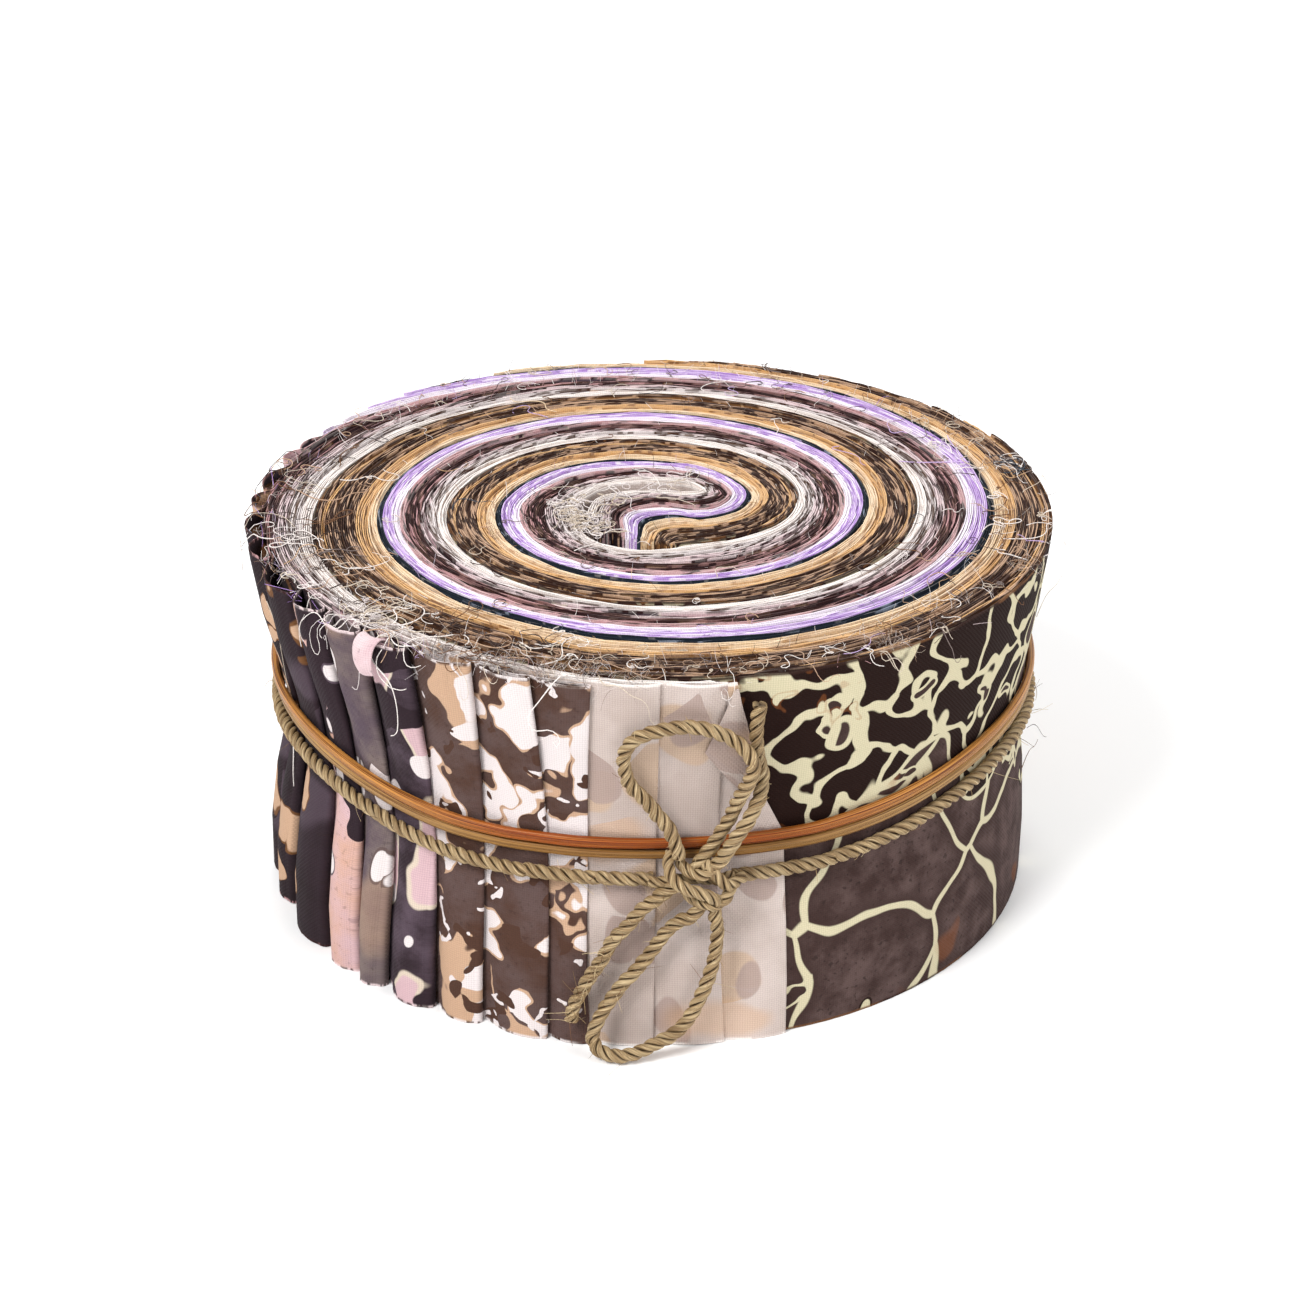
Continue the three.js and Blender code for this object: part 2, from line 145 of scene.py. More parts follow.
# A pleat's rise between the strip end before it and its own fold
LOOSE_PLEAT = np.array([
    (0, 0), (0.1, 0.02), (0.2, 0.22), (0.33, 0.6), (0.5, 0.9), (0.68, 1), (0.86, 0.94), (1, 0.72),
])
TIGHT_PLEAT = np.array([(0, 0), (0.05, 0), (0.5, 0.8), (0.94, 1), (1, 1)])

# The last strip's free edge and its turned-over corner: height, angle
LAST_EDGE = np.array([
    (0, 288.6), (34.4, 288.6), (38.5, 286.9), (41.8, 285.2), (46.5, 283.9), (51.6, 282.9),
    (56.8, 281.9), (59.5, 281.2), (63.5, 280.5),
])
FLAP_EDGE = np.array([(41.8, 283.6), (46.5, 279.9), (51.6, 276.7), (57, 278.6), (62.6, 280.4)])
TURNED_CORNER = {
    "overlap": 0.12, "dome": 0.35, "off": 0.18, "cloth": (300.0, 90.5), "scale": 0.9,
    "rows": 22, "columns": 9,
}

# The stack's run through the core, from the strips' starts to the turn's left side, for several
# depths in the stack: 0 is its outermost strip and 1 its innermost
CORE_DEPTHS = np.array([0, 0.17, 0.35, 0.475, 0.585, 0.74, 0.87, 1])
CORE_RUNS = np.array([
    [(3.8, -16.4), (5.7, -16.2), (8.5, -15.3), (13.0, -13.4), (19.2, -9.2),
     (23.9, 1.0), (17.0, 19.0), (0, 27.0), (-22.0, 20.8)],
    [(1.4, -15.8), (2.4, -13.2), (5.8, -12.0), (10.4, -10.7), (15.9, -7.2),
     (20.6, 1.4), (14.8, 16.4), (0, 23.5), (-19.6, 18.4)],
    [(-1.4, -14.8), (0.2, -9.2), (4.2, -7.6), (8.6, -8.0), (13.6, -5.4),
     (17.2, 1.9), (12.5, 13.7), (0, 19.8), (-17.0, 15.8)],
    [(-2.9, -14.8), (-1.7, -6.0), (3.0, -4.4), (7.4, -5.4), (12.2, -3.3),
     (15.0, 2.3), (10.9, 11.8), (0, 16.6), (-14.8, 13.6)],
    [(-4.3, -14.2), (-3.6, -3.4), (2.2, -1.9), (6.6, -3.0), (10.8, -1.6),
     (13.2, 2.8), (9.9, 10.6), (0, 14.7), (-12.9, 11.7)],
    [(-6.2, -11.8), (-5.6, -2.4), (1.0, 2.0), (4.9, 0.9), (8.6, 1.3),
     (11.2, 3.6), (8.7, 9.2), (0, 12.4), (-10.9, 9.7)],
    [(-8.6, -8.8), (-7.4, -0.4), (-1.0, 3.5), (3.2, 2.9), (6.8, 2.9),
     (9.6, 4.4), (7.7, 8.4), (0, 11.0), (-9.5, 8.3)],
    [(-11.0, -4.6), (-8.8, 3.2), (-4.0, 5.6), (1.0, 5.6), (5.0, 4.9),
     (8.0, 5.4), (6.6, 7.9), (0, 9.7), (-8.2, 7.0)],
])

# The coil: the line between one turn and the next, how the outer layers fill the rim, and how the
# inner ones are drawn in and packed at the core
COIL_START = 23.6
COIL_CENTRE_Y = -1.2
LOOSE_LAYERS = 12.0
WAIST_FADE = 30.0
CORE_PULLS = ((300.0, 34.0, 3.3), (199.0, 24.0, 1.9))
CORE_PULLS_FROM = 0.6
CORE_PACKING = {"share": 0.74, "from": 12.0, "to": 22.0}
CENTRE_FADE = (20.0, RIM_RADIUS - 14)
PLEAT_CLEARANCE = 1.3

# A strip's upper edge: how far up or down it may lie, where its wander begins, and its waves by
# their share of the wander, length and seed
EDGE_LEVELS = (-0.3, 0.25)
EDGE_FROM = 55
EDGE_WAVES = ((0.6, 22, 0), (0.45, 5, 50), (0.22, 1.7, 90))
FOOT = {"lift": 0.12, "wave": 15, "seed": 130, "to": 6}

# The ties, at the roll's waist
TIE_RISE = {"height": 4.0, "start": 22.0, "stop": 66.0}
TIE_PRESS = {"height": 32.5, "reach": 11.0, "share": 0.75}
TIE_GAP = 0.3
PLEAT_REACH = 7
BOW_ANGLE = 275.5
BOW_RADIUS = 64.0
CANES = {
    "cane_upper": {"up": 35.1, "high": 1.8, "deep": 1.3},
    "cane_lower": {"up": 33.0, "high": 1.6, "deep": 1.2},
}
CANE_FRONT = math.radians(FRONT) * RIM_RADIUS
CANE_STEPS = 420
CANE_SIDES = 14
CANE_SMOOTHING = 9
CANE_SWAY = 0.12
CANE_FADE = (16.0, 52.0)
BELT = {"up": 29.2, "start": 281.0, "stop": 630.0, "steps": 1000}
KNOT_CORD = 2.0

# Steps along the bow's cord, the knot's and the routes that carry fibres
CORD_STEP = 0.38
KNOT_STEP = 0.3
ROUTE_STEP = 1.0

# A cord's three strands by the cord's diameter: how far off its middle each lies, half its section,
# and its section's depth and width by that half
CORD_STRANDS = 3
CORD_SIDES = 10
STRAND = {"off": 0.27, "half": 0.245, "deep": 0.92, "wide": 1.16}

# How uneven a strand's section and place are: share and length of the waves, and where the section's
# cosine gives the painted shade of the grooves and the crest's full colour
STRAND_SWELL = (0.09, 2.3)
STRAND_NUBS = (0.05, 0.9)
STRAND_STRAY = (0.05, 3.1)
STRAND_PAINTED_SHADE = (-0.55, 0.3)

# The knot's turns of cord, in the same measures as the bow's routes
KNOT_TURNS = (
    np.array([(-3.4, 34.6, 2.9), (-3.9, 33.5, 4.4), (-3.7, 32.3, 5.6), (-3.0, 31.2, 6.3),
              (-1.6, 30.3, 6.7), (0.1, 29.6, 6.8), (1.7, 28.8, 6.6), (2.8, 27.8, 6.0),
              (3.3, 26.6, 4.6), (3.2, 25.8, 3.2)]),
    np.array([(-2.2, 33.3, 3.4), (-1.3, 32.4, 4.9), (0.1, 31.9, 5.6), (1.6, 32.2, 5.8),
              (3.0, 33.1, 5.2)]),
    np.array([(1.5, 33.2, 4.4), (2.6, 32.3, 5.8), (3.5, 31.0, 6.3), (4.5, 29.9, 5.8),
              (5.9, 29.5, 4.2), (7.4, 29.6, 3.0)]),
    np.array([(-1.9, 29.2, 3.4), (-0.7, 28.0, 4.7), (0.9, 27.1, 5.4), (2.7, 26.9, 5.6), (4.4, 27.8, 5.3),
              (5.3, 29.2, 4.2), (5.2, 30.4, 3.0)]),
    np.array([(-6.6, 29.2, 2.6), (-4.6, 29.6, 3.4), (-2.2, 30.2, 3.8), (0.4, 30.2, 3.6), (3.0, 29.8, 3.6),
              (6.0, 29.4, 2.8)]),
)

# Routes of the bow's cord: along the waist from the bow's angle, up, and off the roll's side
UPPER_LOOP = np.array([
    (-2.3, 34.4, 4.2), (-3.1, 37.1, 3.8), (-3.9, 39.2, 3.4), (-5.7, 41.8, 3.1), (-7.6, 44.7, 2.9),
    (-9.4, 46.9, 2.8), (-10.2, 49.8, 2.7), (-10.2, 52.7, 2.7), (-9.1, 54.9, 2.7), (-7.1, 56.3, 2.7),
    (-4.3, 57.2, 2.7), (-0.5, 57.4, 2.8), (2.3, 56.7, 3.2), (4.4, 55.6, 3.6), (6.2, 54.1, 4.7),
    (7.3, 52.2, 5.8), (7.2, 49.0, 5.5), (6.3, 45.6, 4.4), (5.5, 42.4, 3.6), (4.7, 39.9, 3.4),
    (3.3, 37.3, 3.5), (1.7, 34.7, 3.7), (0.6, 33.2, 4.0), (-0.3, 31.9, 4.2),
])
UPPER_END = np.array([
    (0.4, 30.8, 4.6), (2.0, 32.4, 5.0),
    (3.4, 33.9, 5.3), (4.2, 35.8, 5.9), (5.1, 37.9, 6.2), (6.5, 40.3, 6.1), (7.9, 42.8, 5.4),
    (9.1, 45.6, 4.4), (9.3, 48.4, 3.5), (8.8, 50.8, 3.2), (8.4, 53.2, 3.1), (8.2, 55.9, 3.0),
    (8.3, 58.3, 2.9), (8.6, 60.6, 2.9),
])
LOWER_END = np.array([
    (-1.6, 30.6, 4.6), (-3.4, 29.2, 4.3),
    (-4.9, 27.9, 3.9), (-6.2, 26.6, 3.5), (-7.4, 25.5, 3.1), (-9.0, 23.5, 2.8), (-10.6, 21.4, 2.6),
    (-12.2, 19.6, 2.6), (-13.2, 17.5, 2.6), (-14.4, 15.2, 2.6), (-15.8, 12.9, 2.7), (-16.8, 10.7, 2.8),
    (-17.9, 8.1, 2.9), (-18.3, 5.7, 3.0),
])
LOWER_LOOP = np.array([
    (1.3, 27.2, 4.2), (0.5, 25.8, 4.2),
    (-0.5, 24.3, 3.9), (-1.9, 23.6, 3.5), (-3.8, 22.0, 3.1), (-5.4, 19.6, 2.8), (-7.2, 17.0, 2.7),
    (-9.0, 14.5, 2.7), (-10.8, 12.4, 2.8), (-12.2, 10.2, 3.0), (-13.5, 7.9, 3.3), (-14.5, 5.5, 3.8),
    (-14.9, 3.7, 4.2), (-14.2, 2.2, 4.8), (-12.5, 1.5, 5.4), (-10.1, 1.5, 5.5), (-8.0, 2.0, 5.0),
    (-5.7, 3.1, 4.4), (-3.2, 4.4, 3.8), (-1.1, 6.4, 3.2), (0.1, 8.7, 3.0), (1.1, 11.0, 2.9),
    (2.1, 13.7, 2.8), (2.8, 16.3, 2.8), (3.2, 19.2, 2.9), (3.3, 21.9, 3.3), (2.9, 24.4, 3.9),
    (2.5, 26.8, 4.3),
])

# The bow's cords: CAD node, route, seed and what the far end meets
BOW_CORDS = (
    ("bow_upper_loop", UPPER_LOOP, 3, "object"),
    ("bow_lower_loop", LOWER_LOOP, 4, "object"),
    ("bow_upper_end", UPPER_END, 5, "bare"),
    ("bow_lower_end", LOWER_END, 6, "bare"),
)


def millimetres(size):
    """One of the panel's sizes in millimetres, rounded past the digits that the panel keeps."""
    return round(size / MM, 4)


def smooth(values, low, high):
    """A soft step: 0 below low, 1 above high, and 3t^2 - 2t^3 between them."""
    t = np.clip((np.asarray(values, float) - low) / (high - low), 0, 1)
    return t * t * (3 - 2 * t)


def wander(places, period, seed):
    """Smooth noise from -1 to 1: random values every period, joined by soft steps."""
    knots = np.random.default_rng(seed).uniform(-1, 1, NOISE_VALUES)
    at = np.asarray(places, float) / period + NOISE_START
    low = np.floor(at).astype(int)
    part = smooth(at - low, 0, 1)
    high = low + 1
    return knots[low % NOISE_VALUES] * (1 - part) + knots[high % NOISE_VALUES] * part


def spline(points, samples):
    """A smooth curve through points: each coordinate is a cubic by the chord length between them,
    with each point's slope taken from its two neighbours. samples are places from 0 to 1."""
    steps = np.linalg.norm(np.diff(points, axis=0), axis=1)
    at = np.concatenate([[0], np.cumsum(steps)])
    slopes = np.gradient(points, at, axis=0)
    where = np.asarray(samples) * at[-1]
    low = np.clip(np.searchsorted(at, where, side="right") - 1, 0, len(at) - 2)
    span = (at[low + 1] - at[low])[:, None]
    t = ((where - at[low]) / span[:, 0])[:, None]
    start, end = points[low], points[low + 1]
    return (
        (2 * t**3 - 3 * t**2 + 1) * start + (t**3 - 2 * t**2 + t) * span * slopes[low]
        + (3 * t**2 - 2 * t**3) * end + (t**3 - t**2) * span * slopes[low + 1]
    )


def even_spline(points, step):
    """The same curve with its samples a like step apart along it."""
    fine = spline(points, np.linspace(0, 1, SPLINE_SAMPLES * len(points)))
    at = np.concatenate([[0], np.cumsum(np.linalg.norm(np.diff(fine, axis=0), axis=1))])
    where = np.linspace(0, at[-1], max(3, int(round(at[-1] / step))) + 1)
    return np.stack([np.interp(where, at, fine[:, i]) for i in range(fine.shape[1])], axis=1)


def tie_height(up, angle):
    """The ties ride up a little from the front to the roll's sides, by a soft step of the angle."""
    away = np.abs((np.asarray(angle) - FRONT + 1.5 * TURN) % TURN - TURN / 2)
    return up + TIE_RISE["height"] * smooth(away, TIE_RISE["start"], TIE_RISE["stop"])


def squeeze(angle, up):
    """1 where the ties press the cloth, falling to 0 above and below as a bell curve."""
    return np.exp(-(((up - tie_height(TIE_PRESS["height"], angle)) / TIE_PRESS["reach"]) ** 2))


def inset(angle, up):
    """How far the side stands in from the rim, between the left and right tables by the angle, and
    further in where the loose pleats stand out from it."""
    right = 0.5 + 0.5 * np.cos(np.radians(angle))
    left_in = np.interp(up, SIDE_INSET[:, 0], SIDE_INSET[:, 1])
    right_in = np.interp(up, SIDE_INSET[:, 0], SIDE_INSET[:, 2])
    around = np.asarray(angle) % TURN
    loose = smooth(around, *GROOVE["in"]) * (1 - smooth(around, *GROOVE["out"]))
    return left_in + (right_in - left_in) * right + GROOVE["depth"] * loose * (1 - squeeze(angle, up))


def side_radius(angle, up):
    """The plain side's radius: the rim's, less what the side stands in."""
    return RIM_RADIUS - inset(angle, up)


def pressed(puff, angle, up):
    """How far a pleat of this puff still stands out where the ties press it."""
    return puff * (1 - TIE_PRESS["share"] * squeeze(angle, up))


def polar(angle, radius, up):
    """Points on circles round the roll's axis."""
    turned = np.radians(angle)
    x, y, z = np.broadcast_arrays(radius * np.cos(turned), radius * np.sin(turned), up)
    return np.stack([x, y, z], axis=-1)


def beside_bow(route):
    """Points from places along the waist, up, and off the roll's side."""
    angle = BOW_ANGLE + np.degrees(route[:, 0] / BOW_RADIUS)
    return polar(angle, side_radius(angle, route[:, 1]) + route[:, 2], route[:, 1])


def new_piece(name, points, faces, material, uv=None, colours=None, sharp=SHARP_ANGLE):
    """A mesh piece from points in millimetres and rows of corner numbers, on the roll's body."""
    mesh = bpy.data.meshes.new(name)
    mesh.from_pydata((np.asarray(points) * MM).tolist(), [], faces)
    mesh.validate()
    mesh.shade_smooth()
    mesh.set_sharp_from_angle(angle=math.radians(sharp))
    corners = np.empty(len(mesh.loops), np.int32)
    mesh.loops.foreach_get("vertex_index", corners)
    if uv is not None:
        layer = mesh.uv_layers.new(name="cloth")
        layer.data.foreach_set("uv", np.asarray(uv, np.float32)[corners].ravel())
    if colours is not None:
        shade = mesh.color_attributes.new("shade", "FLOAT_COLOR", "POINT")
        shade.data.foreach_set("color", np.asarray(colours, np.float32).ravel())
    piece = bpy.data.objects.new(name, mesh)
    bpy.context.collection.objects.link(piece)
    mesh.materials.append(material)
    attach(piece, BODY)
    return piece


def ring_faces(rings, sides, closed=False, first=0):
    """Quads between neighbouring rings of points, and one face over each open end."""
    a = np.arange(rings if closed else rings - 1)[:, None] * sides
    b = (np.arange(rings if closed else rings - 1)[:, None] + 1) % rings * sides
    k = np.arange(sides)[None, :]
    n = (k + 1) % sides
    quads = np.stack([a + k, a + n, b + n, b + k], axis=-1).reshape(-1, 4) + first
    faces = quads.tolist()
    if not closed:
        faces.append((first + np.arange(sides)[::-1]).tolist())
        faces.append((first + (rings - 1) * sides + np.arange(sides)).tolist())
    return faces


def frames_along(path):
    """At each point of a path: its direction and two directions across it, turned as little as can be."""
    along = np.gradient(path, axis=0)
    along /= np.linalg.norm(along, axis=1)[:, None]
    across = np.empty_like(along)
    start = np.cross(along[0], (0, 0, 1)) if abs(along[0, 2]) < 0.9 else np.cross(along[0], (0, 1, 0))
    across[0] = start / np.linalg.norm(start)
    for i in range(1, len(path)):
        turned = across[i - 1] - along[i] * np.dot(across[i - 1], along[i])
        across[i] = turned / np.linalg.norm(turned)
    return along, across, np.cross(along, across)


def twisted_cord(path, diameter, lay, seed, first=0):
    """Three strands laid round a path. Each strand's middle is a helix of pitch lay about the path,
    and its section an oval that leans with it, a little uneven by smooth noise. The shade attribute
    is 1 on a strand's crest and falls to 0 in the grooves between the strands: a mask for the
    painted shade in the grooves."""
    rng = np.random.default_rng(seed)
    along, across, up = frames_along(path)
    at = np.concatenate([[0], np.cumsum(np.linalg.norm(np.diff(path, axis=0), axis=1))])
    twist = 2 * np.pi * at / lay
    around = 2 * np.pi * np.arange(CORD_SIDES) / CORD_SIDES
    points, faces, uv, shades = [], [], [], []
    for strand in range(CORD_STRANDS):
        turn = twist + 2 * np.pi * strand / CORD_STRANDS
        uneven = 1 + STRAND_SWELL[0] * wander(at, STRAND_SWELL[1], seed * 7 + strand)
        uneven += STRAND_NUBS[0] * wander(at, STRAND_NUBS[1], seed * 11 + strand)
        out = across * np.cos(turn)[:, None] + up * np.sin(turn)[:, None]
        flow = np.cross(along, out)
        stray = STRAND_STRAY[0] * wander(at, STRAND_STRAY[1], seed + strand)
        off = STRAND["off"] * diameter * (1 + stray)
        centre = path + out * off[:, None]
        half = STRAND["half"] * diameter * uneven
        ring = (
            centre[:, None, :]
            + out[:, None, :] * (half[:, None] * STRAND["deep"] * np.cos(around))[..., None]
            + flow[:, None, :] * (half[:, None] * STRAND["wide"] * np.sin(around))[..., None]
        )
        faces += ring_faces(len(path), CORD_SIDES, False, first + sum(len(p) for p in points))
        points.append(ring.reshape(-1, 3))
        # painted shade: this mask marks the grooves between strands, which the cord material darkens
        crest = smooth(np.cos(around), *STRAND_PAINTED_SHADE)[None, :, None] * np.ones((len(path), 1, 4))
        shades.append(crest.reshape(-1, 4))
        grain = np.stack(np.broadcast_arrays(
            (at * 1.2)[:, None] + 50 * strand, (diameter * 0.8) * around[None, :] / (2 * np.pi)), axis=-1)
        uv.append(grain.reshape(-1, 2) * MM * 10 + rng.uniform(0, 3))
    return np.concatenate(points), faces, np.concatenate(uv), np.concatenate(shades)


def cord_path(route, step=CORD_STEP):
    """A cord's middle: one smooth curve through its route's points, in even steps."""
    return even_spline(beside_bow(route), step)


def make_bow_cord(name, route, seed, sizes, material):
    """One free cord of the bow: three strands laid round its route."""
    diameter = millimetres(sizes.cord_diameter)
    lay = millimetres(sizes.cord_lay)
    points, faces, uv, shades = twisted_cord(cord_path(route), diameter, lay, seed)
    piece = new_piece(f"{name}_cord", points, faces, material, uv, shades)
    declared = cord_path(route, ROUTE_STEP)
    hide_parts(name)


def make_knot(lay, material):
    """The knot: short turns of the cord laid over each other, their ends tucked in behind."""
    points, faces, uv, shades = [], [], [], []
    for turn, route in enumerate(KNOT_TURNS):
        first = sum(len(p) for p in points)
        cord = twisted_cord(cord_path(route, KNOT_STEP), KNOT_CORD, lay, 20 + turn, first)
        points.append(cord[0])
        faces += cord[1]
        uv.append(cord[2])
        shades.append(cord[3])
    return new_piece(
        "knot", np.concatenate(points), faces, material, np.concatenate(uv), np.concatenate(shades))


def cloth_crest(angle, up):
    """The furthest that the cloth close to each angle stands off the plain side."""
    around = np.asarray(angle) % TURN
    up = np.broadcast_to(up, around.shape)
    crest = np.zeros(around.shape)
    for start, end, puff in zip(STARTS, ENDS, PUFFS):
        near = (around > start - PLEAT_REACH) & (around < end + PLEAT_REACH)
        crest = np.where(near, np.maximum(crest, pressed(puff, angle, up)), crest)
    return crest


def tie_path(angle, up, high, deep):
    """The middle of a tie, half its depth and a gap off the cloth that it presses."""
    height = tie_height(up, angle)
    cloth = np.maximum(cloth_crest(angle, height - high / 2), cloth_crest(angle, height + high / 2))
    return polar(angle, side_radius(angle, height) + cloth + TIE_GAP + deep / 2, height)


def smooth_path(path, over):
    """The path with each point moved to the average of its neighbours, over many points, closed."""
    kernel = np.hanning(over + 2)[1:-1]
    kernel /= kernel.sum()
    half = over // 2
    wrapped = np.concatenate([path[-half:], path, path[:half]])
    return np.stack([np.convolve(wrapped[:, i], kernel, "valid")[:len(path)] for i in range(3)], axis=1)


def make_cane(name, size, seed, material):
    """A strand of split cane: a rounded flat section carried round the waist. Its height and its
    place above the floor rise and fall in slow sine waves round the roll."""
    angle = TURN * np.arange(CANE_STEPS) / CANE_STEPS
    path = smooth_path(tie_path(angle, size["up"], size["high"], size["deep"]), CANE_SMOOTHING)
    uneven = 0.07 * np.sin(np.radians(5 * angle + seed)) + 0.03 * np.sin(np.radians(17 * angle))
    high = size["high"] * (1 + uneven)
    path[:, 2] += CANE_SWAY * np.sin(np.radians(4 * angle + 40 * seed))
    outward = polar(angle, 1, 0)
    around = 2 * np.pi * (np.arange(CANE_SIDES) + 0.5) / CANE_SIDES
    swell = np.abs(np.cos(around)) ** 0.75 * np.sign(np.cos(around))
    lift = np.abs(np.sin(around)) ** 0.85 * np.sign(np.sin(around))
    points = path[:, None, :] + outward[:, None, :] * (size["deep"] / 2 * swell)[None, :, None]
    points[..., 2] -= high[:, None] / 2 * lift[None, :]
    uv = np.stack(np.broadcast_arrays(
        np.radians(angle)[:, None] * RIM_RADIUS, size["high"] * around[None, :] / 3), axis=-1)
    piece = new_piece(
        f"{name}_strand", points.reshape(-1, 3), ring_faces(CANE_STEPS, CANE_SIDES, True), material,
        uv.reshape(-1, 2) * MM)
    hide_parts(name)
    return piece


def core_paths(depths):
    """For each depth in the stack, the points of its run through the core: the table's runs
    blended by depth, with two points of the coil after them for the curve to lead on to."""
    runs = np.stack([
        [np.interp(depths, CORE_DEPTHS, CORE_RUNS[:, i, j]) for i in range(CORE_RUNS.shape[1])]
        for j in (0, 1)
    ], axis=-1).transpose(1, 0, 2)
    leads = CORE_ENDS_AT + np.array([0.0, CORE_LEAD])
    tail = coil_points(depths[:, None], leads[None, :])
    return np.concatenate([runs, tail], axis=1)


def coil_radius(depth, turned):
    """The radius of a layer about the coil's centre: it grows evenly with the angle, and the
    innermost layers are drawn in where they pass the strips' starts."""
    bells = sum(far * np.exp(-(((turned - at) / over) ** 2)) for at, over, far in CORE_PULLS)
    return COIL_START + COIL_PITCH * (turned / TURN - depth) - bells * smooth(depth, CORE_PULLS_FROM, 1)


def coil_points(depth, turned):
    """A layer's points on the coil, at its radius about the coil's centre."""
    radius = coil_radius(depth, turned)
    return np.stack([
        radius * np.cos(np.radians(turned)),
        radius * np.sin(np.radians(turned)) + COIL_CENTRE_Y,
    ], axis=-1)


def stack_shown(angle):
    """The share of the stack that has already ended at each angle of the side, from 0 to 1."""
    share = np.arange(STRIPS + 1) / STRIPS
    return np.interp(angle, np.concatenate([[PLEATS_START], ENDS]), share)


def rim_nominal(turned):
    """The radius that the coil's even growth gives its outermost layer at this angle."""
    angle = turned % TURN
    on_smooth_side = (angle > LAST_END) | (angle < PLEATS_START)
    wrapped = np.where(angle < PLEATS_START, angle + TURN, angle)
    smooth_side = COIL_START + COIL_PITCH * (wrapped + TURN) / TURN
    pleated = COIL_START + COIL_PITCH * ((angle + 2 * TURN) / TURN - stack_shown(angle))
    return np.where(on_smooth_side, smooth_side, pleated)


def layer_radius(nominal, turned, up):
    """A layer's radius at each height. Its depth below the rim is stretched in the loose outer
    layers so that they fill the roll, and the waist's inset fades with that depth."""
    rim = rim_nominal(turned)
    depth = rim - nominal
    stretch = (LOOSE_LAYERS + RIM_RADIUS - rim) / LOOSE_LAYERS
    below = np.where(depth < LOOSE_LAYERS, depth * stretch, depth + RIM_RADIUS - rim)
    fade = np.clip(1 - below / WAIST_FADE, 0, 1)
    return RIM_RADIUS - below - inset(turned % TURN, up) * fade


def end_shift(strip, up):
    """How far a strip's folded end leans round the roll at each height, in degrees."""
    if strip == STRIPS - 1:
        return np.interp(up, LAST_EDGE[:, 0], LAST_EDGE[:, 1]) - LAST_END
    if strip < TIGHT_COUNT:
        return np.zeros_like(up)
    lean = np.random.default_rng(40 + strip).uniform(*PLEAT_LEAN["each"], 2)
    part = (up - TIE_PRESS["height"]) / PLEAT_LEAN["reach"]
    bell = np.exp(-(((ENDS[strip] - PLEAT_LEAN["at"]) / PLEAT_LEAN["over"]) ** 2))
    return lean[0] * part + lean[1] * part**2 + PLEAT_LEAN["far"] * bell * np.maximum(part, 0)


def strip_angles(start, end):
    """The angles of a strip's points round the coil: by each step of the table up to the pleat,
    then close together up to the fold."""
    stops = [at for at, _, _ in COIL_STEPS[1:]] + [start - PLEAT_LEAD]
    reaches = [
        np.arange(at, stop, np.degrees(step / radius))
        for (at, step, radius), stop in zip(COIL_STEPS, stops)]
    lead = start - PLEAT_LEAD + np.arange(PLEAT_LEAD)
    return np.concatenate([*reaches, lead, np.linspace(start, end, PLEAT_STEPS)])


def strip_line(strip, up, cloth):
    """The middle of the strip's cloth at each height, from its one raw end in the core along the
    inner half to the fold and back along the outer half."""
    depth_inner = (strip + INNER_HALF) / STRIPS
    depth_outer = (strip + OUTER_HALF) / STRIPS
    end = 2 * TURN + ENDS[strip]
    start = 2 * TURN + STARTS[strip]
    turned = strip_angles(start, end)
    halves = []
    for depth, outer in ((depth_inner, False), (depth_outer, True)):
        run = core_paths(np.array([depth]))[0]
        core = even_spline(run, CORE_STEP)
        last = np.linalg.norm(core - run[-2], axis=1).argmin()
        core = core[:last]
        angle = turned[:, None] + end_shift(strip, up)[None, :] * smooth(turned, start - 4, end)[:, None]
        nominal = coil_radius(depth, turned)
        heights = np.broadcast_to(up[None, :], angle.shape)
        radius = layer_radius(nominal[:, None], turned[:, None], heights)
        if outer:
            first = start + end_shift(strip - 1, up)[None, :]
            part = np.clip((angle - first) / (end + end_shift(strip, up)[None, :] - first), 0, 1)
            shape = TIGHT_PLEAT if strip < TIGHT_COUNT else LOOSE_PLEAT
            rise = np.interp(part, shape[:, 0], shape[:, 1])
            stand = side_radius(angle % TURN, heights) + rise * pressed(PUFFS[strip], angle % TURN, heights)
            floor = layer_radius(coil_radius(depth_inner, turned)[:, None], turned[:, None], heights)
            shown = (turned >= start)[:, None]
            radius = np.where(shown, np.maximum(stand - cloth / 2, floor + PLEAT_CLEARANCE * cloth), radius)
        centre_y = COIL_CENTRE_Y * (1 - smooth(radius, *CENTRE_FADE))
        x = radius * np.cos(np.radians(angle))
        y = radius * np.sin(np.radians(angle)) + centre_y
        spiral = np.stack([x, y], axis=-1)
        body = np.repeat(core[:, None, :], len(up), axis=1)
        halves.append((np.concatenate([body, spiral]), radius[-1], angle[-1]))
    (inner, low, angle), (outer, high, _) = halves
    t = np.linspace(0, np.pi, FOLD_STEPS)[1:-1, None]
    half = (high - low)[None, :] / 2
    radius = (high + low)[None, :] / 2 - half * np.cos(t)
    bulge = np.degrees(half / radius) * np.sin(t)
    turned = np.radians(angle[None, :] + bulge)
    fold = np.stack([radius * np.cos(turned), radius * np.sin(turned)], axis=-1)
    return np.concatenate([inner, fold, outer[::-1]])


def layer_spacing(line):
    """The share of its usual thickness that the cloth keeps where the core packs it closer."""
    reach = np.linalg.norm(line[:, 0, :] - np.array([0, COIL_CENTRE_Y]), axis=1)
    return CORE_PACKING["share"] + (1 - CORE_PACKING["share"]) * smooth(
        reach, CORE_PACKING["from"], CORE_PACKING["to"])


